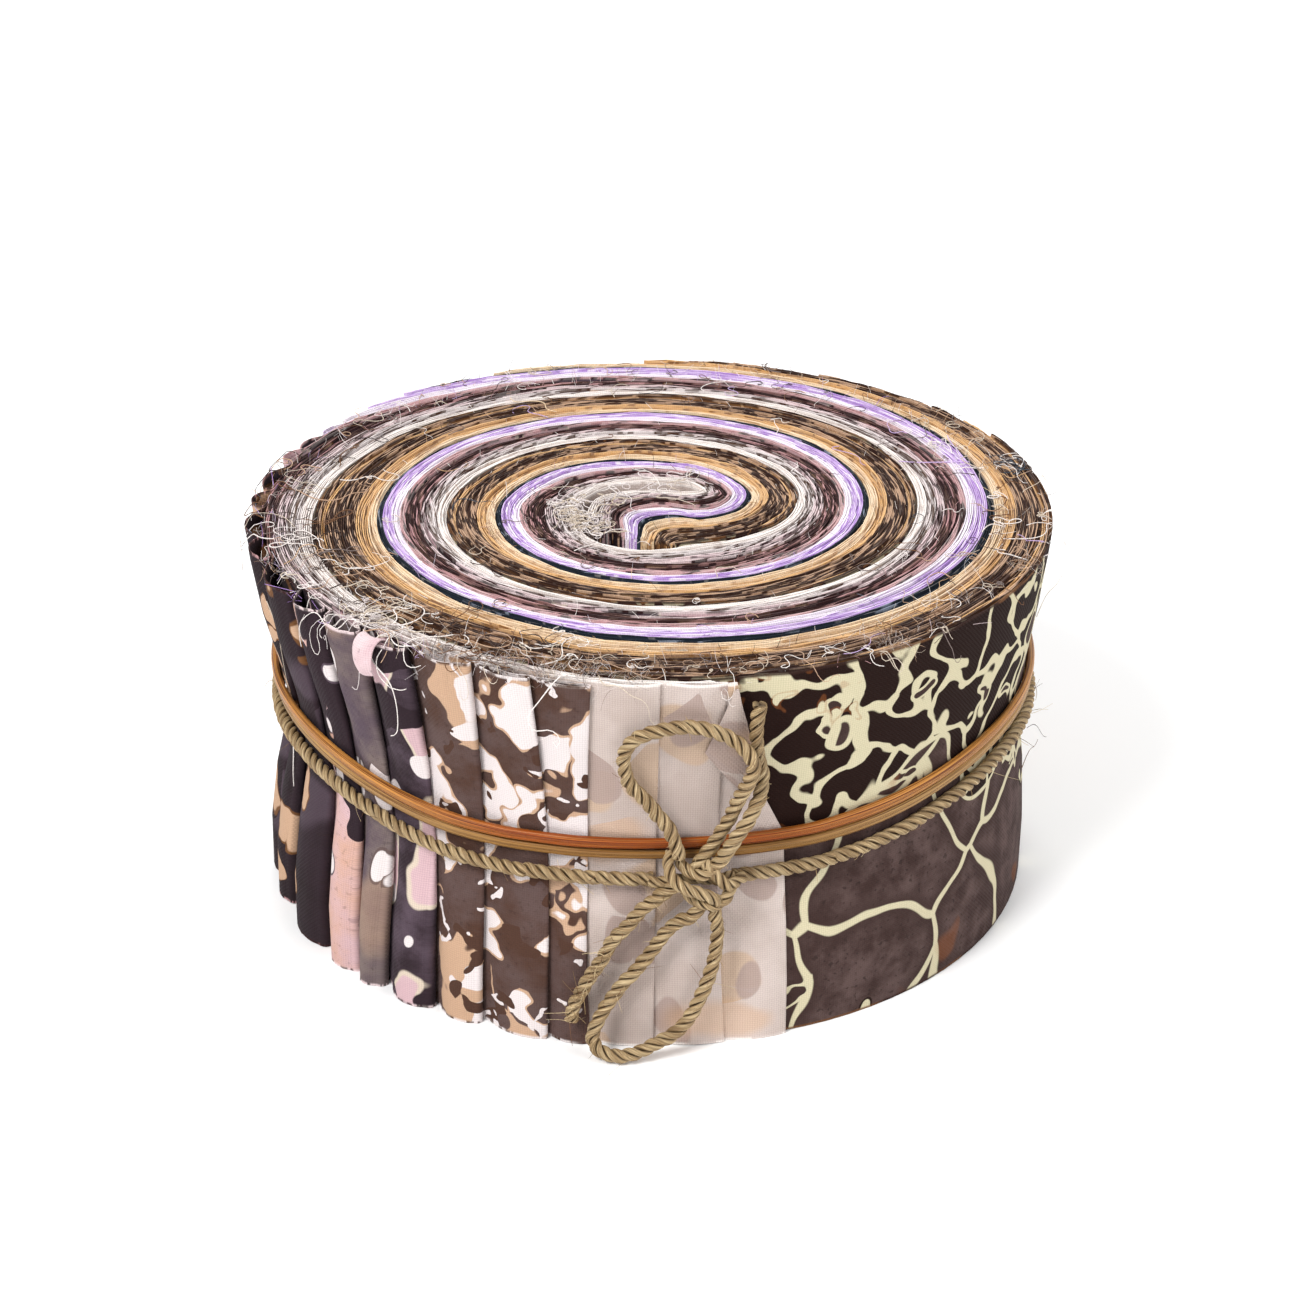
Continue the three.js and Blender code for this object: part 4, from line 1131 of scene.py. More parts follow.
# Each print: two shades of its ground, two of its cut edges, and its figures' layers in order. A
# print may change how wide its clouds are, how dark its specks, and how many of its cut edges'
# threads are light or bare. Upper figures lie above a wavering height, with an outline round them
PRINT_DEFAULTS = {"cloud": 9.0, "speck": 0.25, "light": 0.5, "fleck": 0.18}
PRINTS = {
    "figured_brown": {
        "ground": ("brown_shade", "brown_grey"), "edge": ("brown_edge", "brown"), "cloud": 5.0,
        "speck": 0.6, "fleck": 0.0, "light": 0.4, "layers": (
            motif(23, 25, 5.5, [("Sides", "brown_shade", 0.8), ("Lines", "cream_yellow")],
                  line=1.75, warp_size=19.0, offset=(13, 3)),
            motif(12, 9, 3.4, [("Rims", "cream_yellow"), ("Blots", "brown_shade")],
                  blot=0.2, blot_share=0.2, rim=0.1, warp_size=6.0, offset=(31, 7)),
            motif(9, 8, 2.4, [("Rims", "chocolate"), ("Blots", "cream_yellow")],
                  blot=0.17, blot_share=0.12, rim=0.07, warp_size=6.0, offset=(5, 29)),
            motif(18, 14, 5.0, [("Blots", "rust", 0.3)],
                  blot=0.13, blot_share=0.24, soft=0.05, offset=(11, 47)),
        ),
        "upper": {
            "ground": "cream_yellow", "from": 37.0, "wave": 21.0, "swing": 80.0, "outline": 1.2,
            "layers": (
                motif(10.5, 11, 5.5, [("Patches", "chocolate")],
                      line=1.7, patch_share=0.96, warp_size=9.0, offset=(3, 9)),
                motif(9, 9, 3.5, [("Rims", "cream_yellow"), ("Blots", "brown_shade")],
                      blot=0.12, blot_share=0.4, rim=0.13, warp_size=7.0, offset=(31, 7)),
                motif(13, 12, 5.0, [("Rims", "rust", 0.3), ("Blots", "cream_yellow")],
                      blot=0.16, blot_share=0.34, rim=0.05, warp_size=6.0, offset=(61, 17)),
            ),
        },
    },
    "dark_brown": {
        "ground": ("brown_dark", "brown"), "edge": ("brown_edge", "tan_pale"), "fleck": 0.04, "light": 0.38,
        "layers": (
            motif(9, 12, 4, [("Blots", "tan_deep")], blot=0.3, blot_share=0.5),
            motif(13, 11, 3, [("Lines", "tan")], line=0.7),
        )},
    "mid_brown": {
        "ground": ("brown", "tan_deep"), "edge": ("brown_dark", "tan_pale"), "fleck": 0.05, "light": 0.45,
        "layers": (
            motif(10, 9, 3, [("Blots", "brown_dark"), ("Lines", "tan")],
                  line=0.6, blot=0.34, blot_share=0.5),
        )},
    "tan": {
        "ground": ("tan", "tan_deep"), "edge": ("tan_deep", "orange_tan"), "light": 0.66, "fleck": 0.1,
        "layers": (
            motif(11, 12, 4, [("Blots", "straw")], blot=0.36, blot_share=0.6),
        )},
    "straw": {
        "ground": ("straw", "tan"), "edge": ("tan", "straw"), "light": 0.62, "layers": (
            motif(9, 9, 3, [("Blots", "cream")], blot=0.36, blot_share=0.6),
        )},
    "navy": {
        "ground": ("navy", "slate"), "edge": ("navy", "slate_light"), "light": 0.18, "fleck": 0.2,
        "layers": (
            motif(6, 6, 2, [("Blots", "slate_light")], blot=0.22, blot_share=0.5),
        )},
    "purple": {
        "ground": ("purple", "lavender"), "edge": ("purple", "lavender"), "speck": 0.05, "layers": (
            motif(12, 10, 5, [("Blots", "purple_deep"), ("Lines", "white_violet")],
                  line=0.9, blot=0.3, blot_share=0.4),
        )},
    "lavender": {
        "ground": ("lavender", "white_violet"), "edge": ("purple", "white_violet"), "speck": 0.03,
        "layers": (
            motif(10, 10, 4, [("Blots", "purple")], blot=0.3, blot_share=0.3),
        )},
    "pale": {
        "ground": ("white_violet", "off_white"), "edge": ("lavender", "white_violet"), "speck": 0.0,
        "light": 0.85, "layers": (
            motif(12, 12, 4, [("Blots", "lavender")], blot=0.25, blot_share=0.25),
        )},
    "plum_pink": {
        "ground": ("plum", "plum_grey"), "edge": ("plum_edge", "pink_white"), "light": 0.52,
        "layers": (
            motif(9.5, 17, 2.4, [("Rims", "cream"), ("Blots", "pink")],
                  blot=0.42, blot_share=0.9, rim=0.05, warp_size=12.0),
            motif(11, 9, 3.5, [("Blots", "plum")], blot=0.34, blot_share=0.42, warp_size=9.0),
            motif(6, 8, 1.5, [("Blots", "off_white")], blot=0.2, blot_share=0.24, offset=(17, 5)),
        )},
    "plum_tan": {
        "ground": ("plum_deep", "plum"), "edge": ("plum_edge", "rose"), "fleck": 0.03, "light": 0.4,
        "layers": (
            motif(8, 12, 4.5, [("Rims", "brown"), ("Blots", "tan_pale")],
                  blot=0.33, blot_share=0.86, rim=0.05, warp_size=8.0),
            motif(7, 6, 3.5, [("Blots", "plum_deep")], blot=0.3, blot_share=0.5, warp_size=6.0),
        )},
    "plum": {
        "ground": ("plum_deep", "plum"), "edge": ("plum_edge", "rose_brown"), "fleck": 0.03, "cloud": 13.0,
        "light": 0.36, "layers": (
            motif(12, 15, 3.5, [("Blots", "plum_grey", 0.6)], blot=0.3, blot_share=0.5, soft=0.08),
            motif(7, 13, 3.0, [("Rims", "brown"), ("Blots", "tan_pale")],
                  blot=0.29, blot_share=0.7, rim=0.05, warp_size=8.0, offset=(23, 5)),
        )},
    "peach": {
        "ground": ("pink", "peach"), "edge": ("plum_edge", "pink_white"), "cloud": 12.0, "layers": (
            motif(11, 20, 5.0, [("Blots", "plum")], blot=0.5, blot_share=0.84, warp_size=10.0),
            motif(5.5, 7, 1.2, [("Rims", "plum_grey"), ("Blots", "off_white")],
                  blot=0.24, blot_share=0.34, rim=0.05),
        )},
    "mauve": {
        "ground": ("mauve", "plum_grey"), "edge": ("plum_edge", "pink_white"), "light": 0.55,
        "layers": (
            motif(15, 20, 4.0, [("Blots", "tan_pale", 0.35)], blot=0.3, blot_share=0.5, soft=0.14),
            motif(5.0, 9.0, 1.2, [("Rims", "brown_grey", 0.7), ("Blots", "off_white")],
                  blot=0.33, blot_share=0.6, rim=0.07),
        )},
    "brown_white": {
        "ground": ("umber", "brown_grey"), "edge": ("umber", "off_white"), "light": 0.54,
        "layers": (
            motif(12, 15, 5.5, [("Patches", "tan_pale")],
                  line=0.9, patch_share=0.2, warp_size=8.0),
            motif(10, 14, 6.0, [("Rims", "tan_pale"), ("Blots", "off_white")],
                  blot=0.38, blot_share=0.5, rim=0.07, warp_size=7.0, offset=(41, 3)),
            motif(7, 8, 4.5, [("Blots", "umber")],
                  blot=0.24, blot_share=0.34, warp_size=5.0, offset=(3, 11)),
            motif(5.5, 7, 5.0, [("Blots", "off_white")],
                  blot=0.2, blot_share=0.34, warp_size=4.0, offset=(9, 23)),
        )},
    "cream": {
        "ground": ("cream_cloth", "cream_shade"), "edge": ("cream_cloth", "thread_white"), "speck": 0.0,
        "light": 0.72, "cloud": 16.0, "layers": (
            motif(17, 12, 3, [("Blots", "tan_soft", 0.8)],
                  blot=0.36, blot_share=0.5, warp_size=13.0, soft=0.03),
            motif(9, 12, 2.6, [("Blots", "mauve_pale", 0.9)],
                  blot=0.34, blot_share=0.62, soft=0.025, offset=(29, 13)),
            motif(21, 16, 3, [("Blots", "orange_pale", 0.45)],
                  blot=0.2, blot_share=0.4, soft=0.09, offset=(5, 41)),
        )},
}
# A plain lining for the rolled lip, and the plum and pink print with rosier cut edges
PRINTS["pink_back"] = {"ground": ("pink", "pink_white"), "edge": ("pink", "pink_white"), "layers": ()}
PRINTS["plum_rose"] = {**PRINTS["plum_pink"], "edge": ("plum_edge", "rose"), "light": 0.6}

# The forty strips from the stack's outermost to its innermost, by the name of their print
STRIP_PRINTS = (
    ["figured_brown", "mid_brown", "tan", "dark_brown"]
    + 2 * ["dark_brown", "mid_brown", "dark_brown"]
    + 3 * ["tan"]
    + 3 * ["straw"]
    + 2 * ["navy"]
    + 2 * ["purple", "lavender"]
    + 2 * ["pale"]
    + 2 * ["plum_rose"]
    + 2 * ["plum", "plum_tan"]
    + ["plum", "peach", "mauve", "plum_pink"]
    + 3 * ["brown_white"]
    + 3 * ["cream"]
)

COLOURS = {
    "brown_dark": ("34201a", "dark brown of the outer strips"),
    "brown_shade": ("3a2926", "darker cells of the outer print"),
    "brown_grey": ("5a4845", "worn, greyer brown of the grounds"),
    "brown": ("6b472b", "middle brown"),
    "umber": ("4b3329", "brown of the white-figured print"),
    "brown_edge": ("311d17", "dark cut edges of the outer strips"),
    "plum_edge": ("331a1a", "dark cut edges of the plum strips"),
    "chocolate": ("1d0a05", "darkest patches of the outer print"),
    "cream_yellow": ("cbc2a3", "yellowish cream lines of the outer print"),
    "rust": ("99592c", "rust blots of the outer print"),
    "tan": ("c39d74", "tan and peach strips"),
    "tan_deep": ("8a6038", "deeper tan"),
    "tan_pale": ("bd9b80", "pale tan figures"),
    "tan_soft": ("c0a58d", "soft tan figures of the cream strips"),
    "straw": ("e6cba6", "light yellow strips"),
    "navy": ("18202a", "navy strips"),
    "slate": ("38434f", "slate shade of the navy strips"),
    "slate_light": ("8790a0", "light dots on navy"),
    "purple": ("ab86c9", "purple strips"),
    "purple_deep": ("8c62b4", "deeper purple"),
    "lavender": ("cbb0de", "lavender strips"),
    "white_violet": ("ebe2ee", "nearly white lavender"),
    "plum": ("2d2127", "dark plum ground"),
    "plum_deep": ("241a1d", "darkest plum"),
    "plum_grey": ("544650", "greyer plum"),
    "mauve": ("776965", "mauve grey ground"),
    "mauve_pale": ("a8948c", "pale mauve figures"),
    "pink": ("c9a9ae", "pink figures"),
    "pink_white": ("dcc6c8", "pinkish white cut edges"),
    "rose": ("bd9092", "rose cut edges"),
    "rose_brown": ("8a6562", "lighter cut edges of the plum strips"),
    "orange_tan": ("d6a86f", "orange tan cut edges"),
    "peach": ("c99f8a", "peach shade of the pink figures"),
    "orange_pale": ("c9a078", "pale orange figures"),
    "cream": ("cfc0ae", "cream figures"),
    "cream_cloth": ("cabcb6", "ground of the last cream strips"),
    "cream_shade": ("b8a8a0", "greyer shade of the cream strips"),
    "off_white": ("dcd2d1", "white figures"),
    "thread_white": ("eee6e1", "bare cotton of the cut edges"),
    "cane_deep": ("521c00", "dark streaks of the orange cane"),
    "cane_orange": ("984300", "orange cane in front"),
    "cane_bright": ("bf8440", "paler cane at the sides"),
    "olive_deep": ("573210", "dark streaks of the olive cane"),
    "olive": ("8a5f26", "olive cane in front"),
    "olive_bright": ("b48d58", "paler olive cane"),
    "grass_dark": ("745a38", "dark fibres of the grass cord"),
    # painted shade, darkening the grooves between the cord's strands
    "painted_groove_shade": ("46321a", "grooves of the grass cord"),
    "grass": ("a68b62", "grass cord"),
    "grass_light": ("cab48c", "bright fibres of the grass cord"),
}


# Fibres and threads: how many frays lie over the top and at the rim, between which radii, how deep
# their roots are, how wide they are and what share is bare cotton; how high fibres may stand off the
# top and how far threads may hang off the rim; and the steps and sides of each
FRAYS = 1100
RIM_FRAYS = 1000
FRAY_RADII = (6, RIM_RADIUS - 1)
RIM_FRAY_RADII = (RIM_RADIUS - 10, RIM_RADIUS + 0.3)
FRAY_ROOTS = (-1.2, -0.2)
FRAY_WIDTHS = (0.05, 0.13)
BARE_SHARE = 0.4
FRAY_LIMIT = 2.6
LINT_LIMIT = 2.4
THREAD_LIMIT = 2.2
THREAD_SINK = 1.3
FRAY_STEPS = 6
LINT_STEPS = 7
THREAD_STEPS = 22
THREAD_BENDS = 5
FIBRE_SIDES = 3
THREAD_SIDES = 4
TIP_SHARE = 0.55
ASKEW = np.array([0.31, 0.52, 0.79])


def thread_tubes(paths, widths, sides=FIBRE_SIDES):
    """Thin tubes along many paths of one length at once: each ring is a small circle across the
    path, narrowing to its tip, and the tubes are joined in one array of points. The circle's two
    directions are worked out from one fixed slanting direction, which no thread follows."""
    count, steps = paths.shape[:2]
    along = np.gradient(paths, axis=1)
    along /= np.maximum(np.linalg.norm(along, axis=-1), 1e-9)[..., None]
    side = np.cross(along, ASKEW)
    side /= np.maximum(np.linalg.norm(side, axis=-1), 1e-9)[..., None]
    other = np.cross(along, side)
    around = 2 * np.pi * np.arange(sides) / sides
    thin = widths[:, None, None, None] / 2 * np.linspace(1, TIP_SHARE, steps)[None, :, None, None]
    rings = paths[:, :, None, :] + thin * (
        side[:, :, None, :] * np.cos(around)[None, None, :, None]
        + other[:, :, None, :] * np.sin(around)[None, None, :, None])
    base = np.arange(count)[:, None, None, None] * steps * sides
    a = np.arange(steps - 1)[None, :, None, None] * sides
    k = np.arange(sides)[None, None, :, None]
    n = (k + 1) % sides
    near = base + a
    far = near + sides
    quads = np.concatenate([near + k, near + n, far + n, far + k], axis=-1)
    faces = quads.reshape(-1, 4).tolist()
    first = np.arange(count)[:, None] * steps * sides
    faces += (first + np.arange(sides)[None, ::-1]).tolist()
    faces += (first + (steps - 1) * sides + np.arange(sides)[None, :]).tolist()
    return rings.reshape(-1, 3), faces


def top_places(rng, count, inner, outer, angles=(0, 360)):
    """Places on the roll's top, evenly spread between two radii and two angles."""
    radius = np.sqrt(rng.uniform(inner**2, outer**2, count))
    angle = rng.uniform(*angles, count)
    return polar(angle, radius, STRIP_WIDTH), angle, radius


def fray_paths(rng, roots, lengths, lean, curl, steps):
    """Short fibres: each starts at its root, rises in its own direction and bends by a smooth
    turn of that direction, so its place is the sum of its turned steps."""
    count = len(roots)
    direction = rng.normal(0, 1, (count, 3)) * lean + np.array([0, 0, 1.0])
    direction /= np.linalg.norm(direction, axis=1)[:, None]
    bend = rng.normal(0, curl, (count, 3))
    part = np.linspace(0, 1, steps)[None, :, None]
    heading = direction[:, None, :] + bend[:, None, :] * part
    heading /= np.linalg.norm(heading, axis=-1)[..., None]
    stride = lengths[:, None, None] / (steps - 1)
    travelled = np.cumsum(heading * stride, axis=1)
    return roots[:, None, :] + travelled - travelled[:, :1]


def thread_paths(rng, roots, lengths, headings, wild, rise):
    """Loose threads: a heading that turns by a smooth random amount at each step, so that the
    thread curls; it lies low over the top, and beyond the rim it sinks down the side."""
    count = len(roots)
    knots = rng.normal(0, wild, (count, THREAD_BENDS + 1))
    at = np.linspace(0, THREAD_BENDS, THREAD_STEPS)
    low = np.minimum(at.astype(int), THREAD_BENDS - 1)
    part = smooth(at - low, 0, 1)
    turn = knots[:, low] * (1 - part) + knots[:, low + 1] * part
    heading = headings[:, None] + np.cumsum(turn, axis=1)
    stride = lengths[:, None] / (THREAD_STEPS - 1)
    x = roots[:, None, 0] + np.cumsum(np.cos(heading) * stride, axis=1)
    y = roots[:, None, 1] + np.cumsum(np.sin(heading) * stride, axis=1)
    waves = rng.uniform(0.5, 1.5, (count, 1)) * np.pi
    lift = 0.3 + rise[:, None] * np.abs(np.sin(waves * np.linspace(0, 1, THREAD_STEPS)[None, :]))
    radius = np.hypot(x, y)
    beyond = np.maximum(radius - RIM_RADIUS, 0)
    limit = RIM_RADIUS + THREAD_LIMIT
    pull = np.where(radius > limit, limit / radius, 1)
    return np.stack([x * pull, y * pull, STRIP_WIDTH + lift - THREAD_SINK * beyond], axis=-1)


def shades_of(rng, keys, count, colours):
    """One of the named colours for each of a number of threads, by chance."""
    palette = np.array([rgba(colours, key) for key in keys])
    return palette[rng.integers(0, len(keys), count)]


def strip_at(angle, radius):
    """Which strip of the stack shows at a place on the top, by the coil's even growth."""
    share = np.mod((COIL_START + COIL_PITCH * angle / TURN - radius) / COIL_PITCH, 1)
    return np.minimum((share * STRIPS).astype(int), STRIPS - 1)


def thread_piece(name, points, faces, shades, material):
    """A piece of many like threads, each all in its own shade."""
    colours = np.repeat(shades, len(points) // len(shades), axis=0)
    new_piece(name, points, faces, material, colours=colours)


def make_frays(colours, material):
    """Short fibres standing out of the strips' cut edges, more of them towards the rim."""
    rng = np.random.default_rng(5)
    fine, fine_angle, fine_radius = top_places(rng, FRAYS, *FRAY_RADII)
    rim, rim_angle, rim_radius = top_places(rng, RIM_FRAYS, *RIM_FRAY_RADII)
    roots = np.concatenate([fine, rim])
    angle = np.concatenate([fine_angle, rim_angle])
    radius = np.concatenate([fine_radius, rim_radius])
    roots[:, 2] += rng.uniform(*FRAY_ROOTS, len(roots))
    lengths = rng.gamma(2.0, 0.6, len(roots)) + 0.5
    lengths[FRAYS:] += rng.gamma(1.2, 0.9, RIM_FRAYS)
    lean = np.where(np.arange(len(roots)) < FRAYS, 1.0, 1.1)[:, None]
    paths = fray_paths(rng, roots, lengths, lean, 0.7, FRAY_STEPS)
    paths[..., 2] = np.minimum(paths[..., 2], STRIP_WIDTH + FRAY_LIMIT)
    widths = rng.uniform(*FRAY_WIDTHS, len(roots))
    points, faces = thread_tubes(paths, widths)
    strips = strip_at(angle, radius)
    table = np.array([[rgba(colours, key) for key in PRINTS[name]["edge"]] for name in STRIP_PRINTS])
    shade = table[strips, rng.integers(0, 2, len(roots))]
    pale = np.array(rgba(colours, "thread_white"))
    shade = np.where(rng.uniform(0, 1, len(roots))[:, None] < BARE_SHARE, pale, shade)
    thread_piece("cut_edge_frays", points, faces, shade, material)


THREAD_KEYS = {
    "mixed": ("thread_white", "thread_white", "cream", "brown", "brown_dark", "tan_pale", "mauve"),
    "pale": ("thread_white", "off_white", "cream"),
    "dark": ("brown_dark", "navy", "plum", "brown"),
    "bright": ("straw", "lavender", "slate", "tan"),
    "violet": ("lavender",),
    "blue": ("slate", "tan", "slate"),
    "lint": ("cream", "tan_pale", "mauve", "brown_grey", "off_white"),
    "cord": ("grass", "grass_light", "grass_dark", "brown"),
}

# Where loose threads lie: name, threads, radii, angles, lengths, widths, curl, rise and shades
THREAD_PATCHES = (
    ("rim_left", 96, (54, 65), (164, 262), (6, 20), (0.11, 0.24), 0.6, 1.4, "mixed"),
    ("rim_right", 52, (54, 65), (-35, 40), (5, 17), (0.11, 0.22), 0.65, 1.4, "mixed"),
    ("rim_back", 46, (56, 65), (40, 168), (4, 14), (0.1, 0.2), 0.5, 1.1, "mixed"),
    ("rim_front", 54, (59, 65), (240, 325), (4, 14), (0.1, 0.2), 0.65, 1.2, "mixed"),
    ("white_bundle", 26, (60, 65), (222, 232), (6, 18), (0.14, 0.26), 0.65, 2.2, "pale"),
    ("core_tangle", 70, (12, 17), (180, 238), (4, 10), (0.12, 0.22), 0.8, 1.5, "pale"),
    ("core", 20, (3, 13), (40, 190), (6, 16), (0.12, 0.22), 0.6, 1.5, "pale"),
    ("inner", 44, (17, 55), (0, 360), (3, 11), (0.1, 0.2), 0.5, 1.0, "mixed"),
    ("dark_stray", 20, (20, 64), (0, 360), (4, 12), (0.1, 0.18), 0.55, 1.0, "dark"),
    ("bright_stray", 14, (30, 64), (0, 360), (5, 14), (0.12, 0.2), 0.35, 1.0, "bright"),
    ("violet_pull", 2, (55, 57), (16, 18), (10, 13), (0.24, 0.3), 0.03, 0.6, "violet"),
    ("blue_tuft", 9, (61, 64), (10, 16), (4, 9), (0.14, 0.24), 0.6, 1.6, "blue"),
)

# Threads that hang beside the side: angle, up and off the side at both ends, width and shade
SIDE_THREADS = (
    ((194.5, 31.8, 1.6), (202.0, 23.5, 2.6), 0.26, "thread_white"),
    ((203.0, 58.0, 2.9), (206.0, 44.0, 2.6), 0.16, "cream"),
    ((352.0, 47.0, 0.3), (357.0, 53.0, 3.4), 0.14, "cream"),
    ((348.0, 21.0, 0.2), (354.0, 24.0, 2.8), 0.13, "brown"),
    ((344.0, 31.0, 2.4), (350.0, 27.0, 4.6), 0.12, "brown_dark"),
)

# Puffs of lint on the rim: angle, radius, fibres
LINT = (
    (250.0, 63.5, 90), (256.0, 64.0, 110), (261.0, 63.6, 80), (267.0, 64.2, 60), (240.0, 63.6, 70),
    (304.0, 63.8, 90), (336.0, 64.0, 50), (205.0, 63.0, 70),
)
LINT_SPREAD = np.array([1.7, 1.1, 0.35])
LINT_LENGTHS = (1.5, 4.5)
LINT_WIDTHS = (0.035, 0.07)

# Fibres on the cord: their number round the waist, on each part of the bow and on the worn tip
CORD_BRUSH = {
    "belt_steps": 400, "steps": 14, "fibres": (90, 26, 14, 40, 26, 46), "off": 0.9,
    "lengths": (0.8, 2.6), "widths": (0.07, 0.13),
}


def make_lint(colours, material):
    """Puffs of lint on the rim: very thin curled fibres round a few places."""
    rng = np.random.default_rng(61)
    middles = np.concatenate([
        np.repeat(polar(angle, radius, STRIP_WIDTH + 0.2)[None], count, axis=0)
        for angle, radius, count in LINT])
    roots = middles + rng.normal(0, 1, middles.shape) * LINT_SPREAD
    paths = fray_paths(rng, roots, rng.uniform(*LINT_LENGTHS, len(roots)), 1.4, 1.5, LINT_STEPS)
    paths[..., 2] = np.minimum(paths[..., 2], STRIP_WIDTH + LINT_LIMIT)
    points, faces = thread_tubes(paths, rng.uniform(*LINT_WIDTHS, len(roots)))
    shades = shades_of(rng, THREAD_KEYS["lint"], len(roots), colours)
    thread_piece("lint", points, faces, shades, material)


def make_threads(colours, material):
    """Loose threads pulled from the cut edges, curled over the top and over its rim."""
    paths, widths, shades = [], [], []
    for seed, (_, count, radii, angles, lengths, thick, wild, rise, keys) in enumerate(THREAD_PATCHES):
        rng = np.random.default_rng(300 + seed)
        roots, angle, _ = top_places(rng, count, *radii, angles)
        heading = np.radians(angle + 90) + rng.normal(0, 1.2, count)
        size = rng.uniform(*lengths, count)
        lifts = rise * rng.uniform(0.15, 1.0, count)
        paths.append(thread_paths(rng, roots, size, heading, wild, lifts))
        widths.append(rng.uniform(*thick, count))
        shades.append(shades_of(rng, THREAD_KEYS[keys], count, colours))
    part = np.linspace(0, 1, THREAD_STEPS)
    for near, far, width, key in SIDE_THREADS:
        angle, up, off = (near[i] + (far[i] - near[i]) * part for i in range(3))
        sway = np.sin(np.pi * part * 1.6)
        paths.append(polar(angle + 0.7 * sway, side_radius(angle, up) + off, up + 0.5 * sway)[None])
        widths.append([width])
        shades.append([rgba(colours, key)])
    points, faces = thread_tubes(np.concatenate(paths), np.concatenate(widths), THREAD_SIDES)
    thread_piece("loose_threads", points, faces, np.concatenate(shades), material)


def belt_path(steps, diameter):
    """The middle of the cord round the waist, from the knot round to the knot."""
    return tie_path(np.linspace(BELT["start"], BELT["stop"], steps), BELT["up"], diameter, diameter)


def make_cord_fibres(colours, material):
    """Fine fibres standing off the grass cord, with a brush of them on its worn lower end."""
    rng = np.random.default_rng(77)
    bow = [cord_path(route, ROUTE_STEP) for route in (UPPER_LOOP, UPPER_END, LOWER_END, LOWER_LOOP)]
    tip = bow[2][-CORD_BRUSH["steps"]:]
    routes = (belt_path(CORD_BRUSH["belt_steps"], CORD_DIAMETER), *bow, tip)
    roots = np.concatenate([
        route[rng.integers(0, len(route), count)] for route, count in zip(routes, CORD_BRUSH["fibres"])])
    outward = roots * np.array([1, 1, 0]) / np.linalg.norm(roots[:, :2], axis=1)[:, None]
    start = roots + outward * CORD_BRUSH["off"]
    direction = outward * 0.5 + rng.normal(0, 0.8, roots.shape)
    direction /= np.linalg.norm(direction, axis=1)[:, None]
    bend = rng.normal(0, 0.6, roots.shape)
    part = np.linspace(0, 1, LINT_STEPS)[None, :, None]
    size = rng.uniform(*CORD_BRUSH["lengths"], len(roots))[:, None, None]
    paths = start[:, None, :] + (direction[:, None, :] * part + bend[:, None, :] * part**2) * size
    points, faces = thread_tubes(paths, rng.uniform(*CORD_BRUSH["widths"], len(roots)))
    shades = shades_of(rng, THREAD_KEYS["cord"], len(roots), colours)
    thread_piece("cord_fibres", points, faces, shades, material)


def make_camera(scene):
    """The camera at the photograph's view: straight in front of the roll, and above it."""
    camera = bpy.data.objects.new("camera", bpy.data.cameras.new("camera"))
    scene.collection.objects.link(camera)
    tilt = math.radians(CAMERA["elevation"])
    target = Vector(CAMERA["target"]) * MM
    camera.location = target + Vector((0, -math.cos(tilt), math.sin(tilt))) * CAMERA["distance"] * MM
    camera.rotation_euler = (target - camera.location).to_track_quat("-Z", "Y").to_euler()
    camera.data.lens = CAMERA["focal"] * SENSOR / PHOTO_SIDE
    camera.data.sensor_width = SENSOR
    camera.data.clip_start = NEAR_CLIP * MM
    scene.camera = camera


def make_floor(scene):
    """A plain pale floor under the roll."""
    mesh = bpy.data.meshes.new("floor")
    corners = [(x * FLOOR_REACH, y * FLOOR_REACH, 0) for x, y in ((-1, -1), (1, -1), (1, 1), (-1, 1))]
    mesh.from_pydata(corners, [], [(0, 1, 2, 3)])
    floor = bpy.data.objects.new("floor", mesh)
    scene.collection.objects.link(floor)
    material, n, shader = new_material("floor", 0.9)
    grain = n.noise(n.add("ShaderNodeTexCoord").outputs["Object"], 40.0)
    n.put(shader.inputs["Base Color"], n.mix(grain.outputs[0], *FLOOR_SHADES))
    mesh.materials.append(material)


def make_lights(scene):
    """Soft light: an even white room and the large round lamps."""
    world = bpy.data.worlds.new("studio")
    scene.world = world
    world.use_nodes = True
    room = world.node_tree.nodes["Background"].inputs
    room["Color"].default_value = (1, 1, 1, 1)
    room["Strength"].default_value = ROOM_LIGHT
    for name, place, width, power in LAMPS:
        lamp = bpy.data.objects.new(name, bpy.data.lights.new(name, "AREA"))
        lamp.data.shape = "DISK"
        lamp.data.size = width
        lamp.data.energy = power
        lamp.location = place
        lamp.rotation_euler = (Vector(LAMPS_AIM) - lamp.location).to_track_quat("-Z", "Y").to_euler()
        scene.collection.objects.link(lamp)
    scene.view_settings.view_transform = "Standard"


def colour_property(key):
    """A colour property named and described from the table of colours."""
    code, words = COLOURS[key]
    return bpy.props.FloatVectorProperty(
        name=key.replace("_", " ").capitalize(), description=words.capitalize(), subtype="COLOR",
        default=linear(code), min=0.0, max=1.0, size=3)


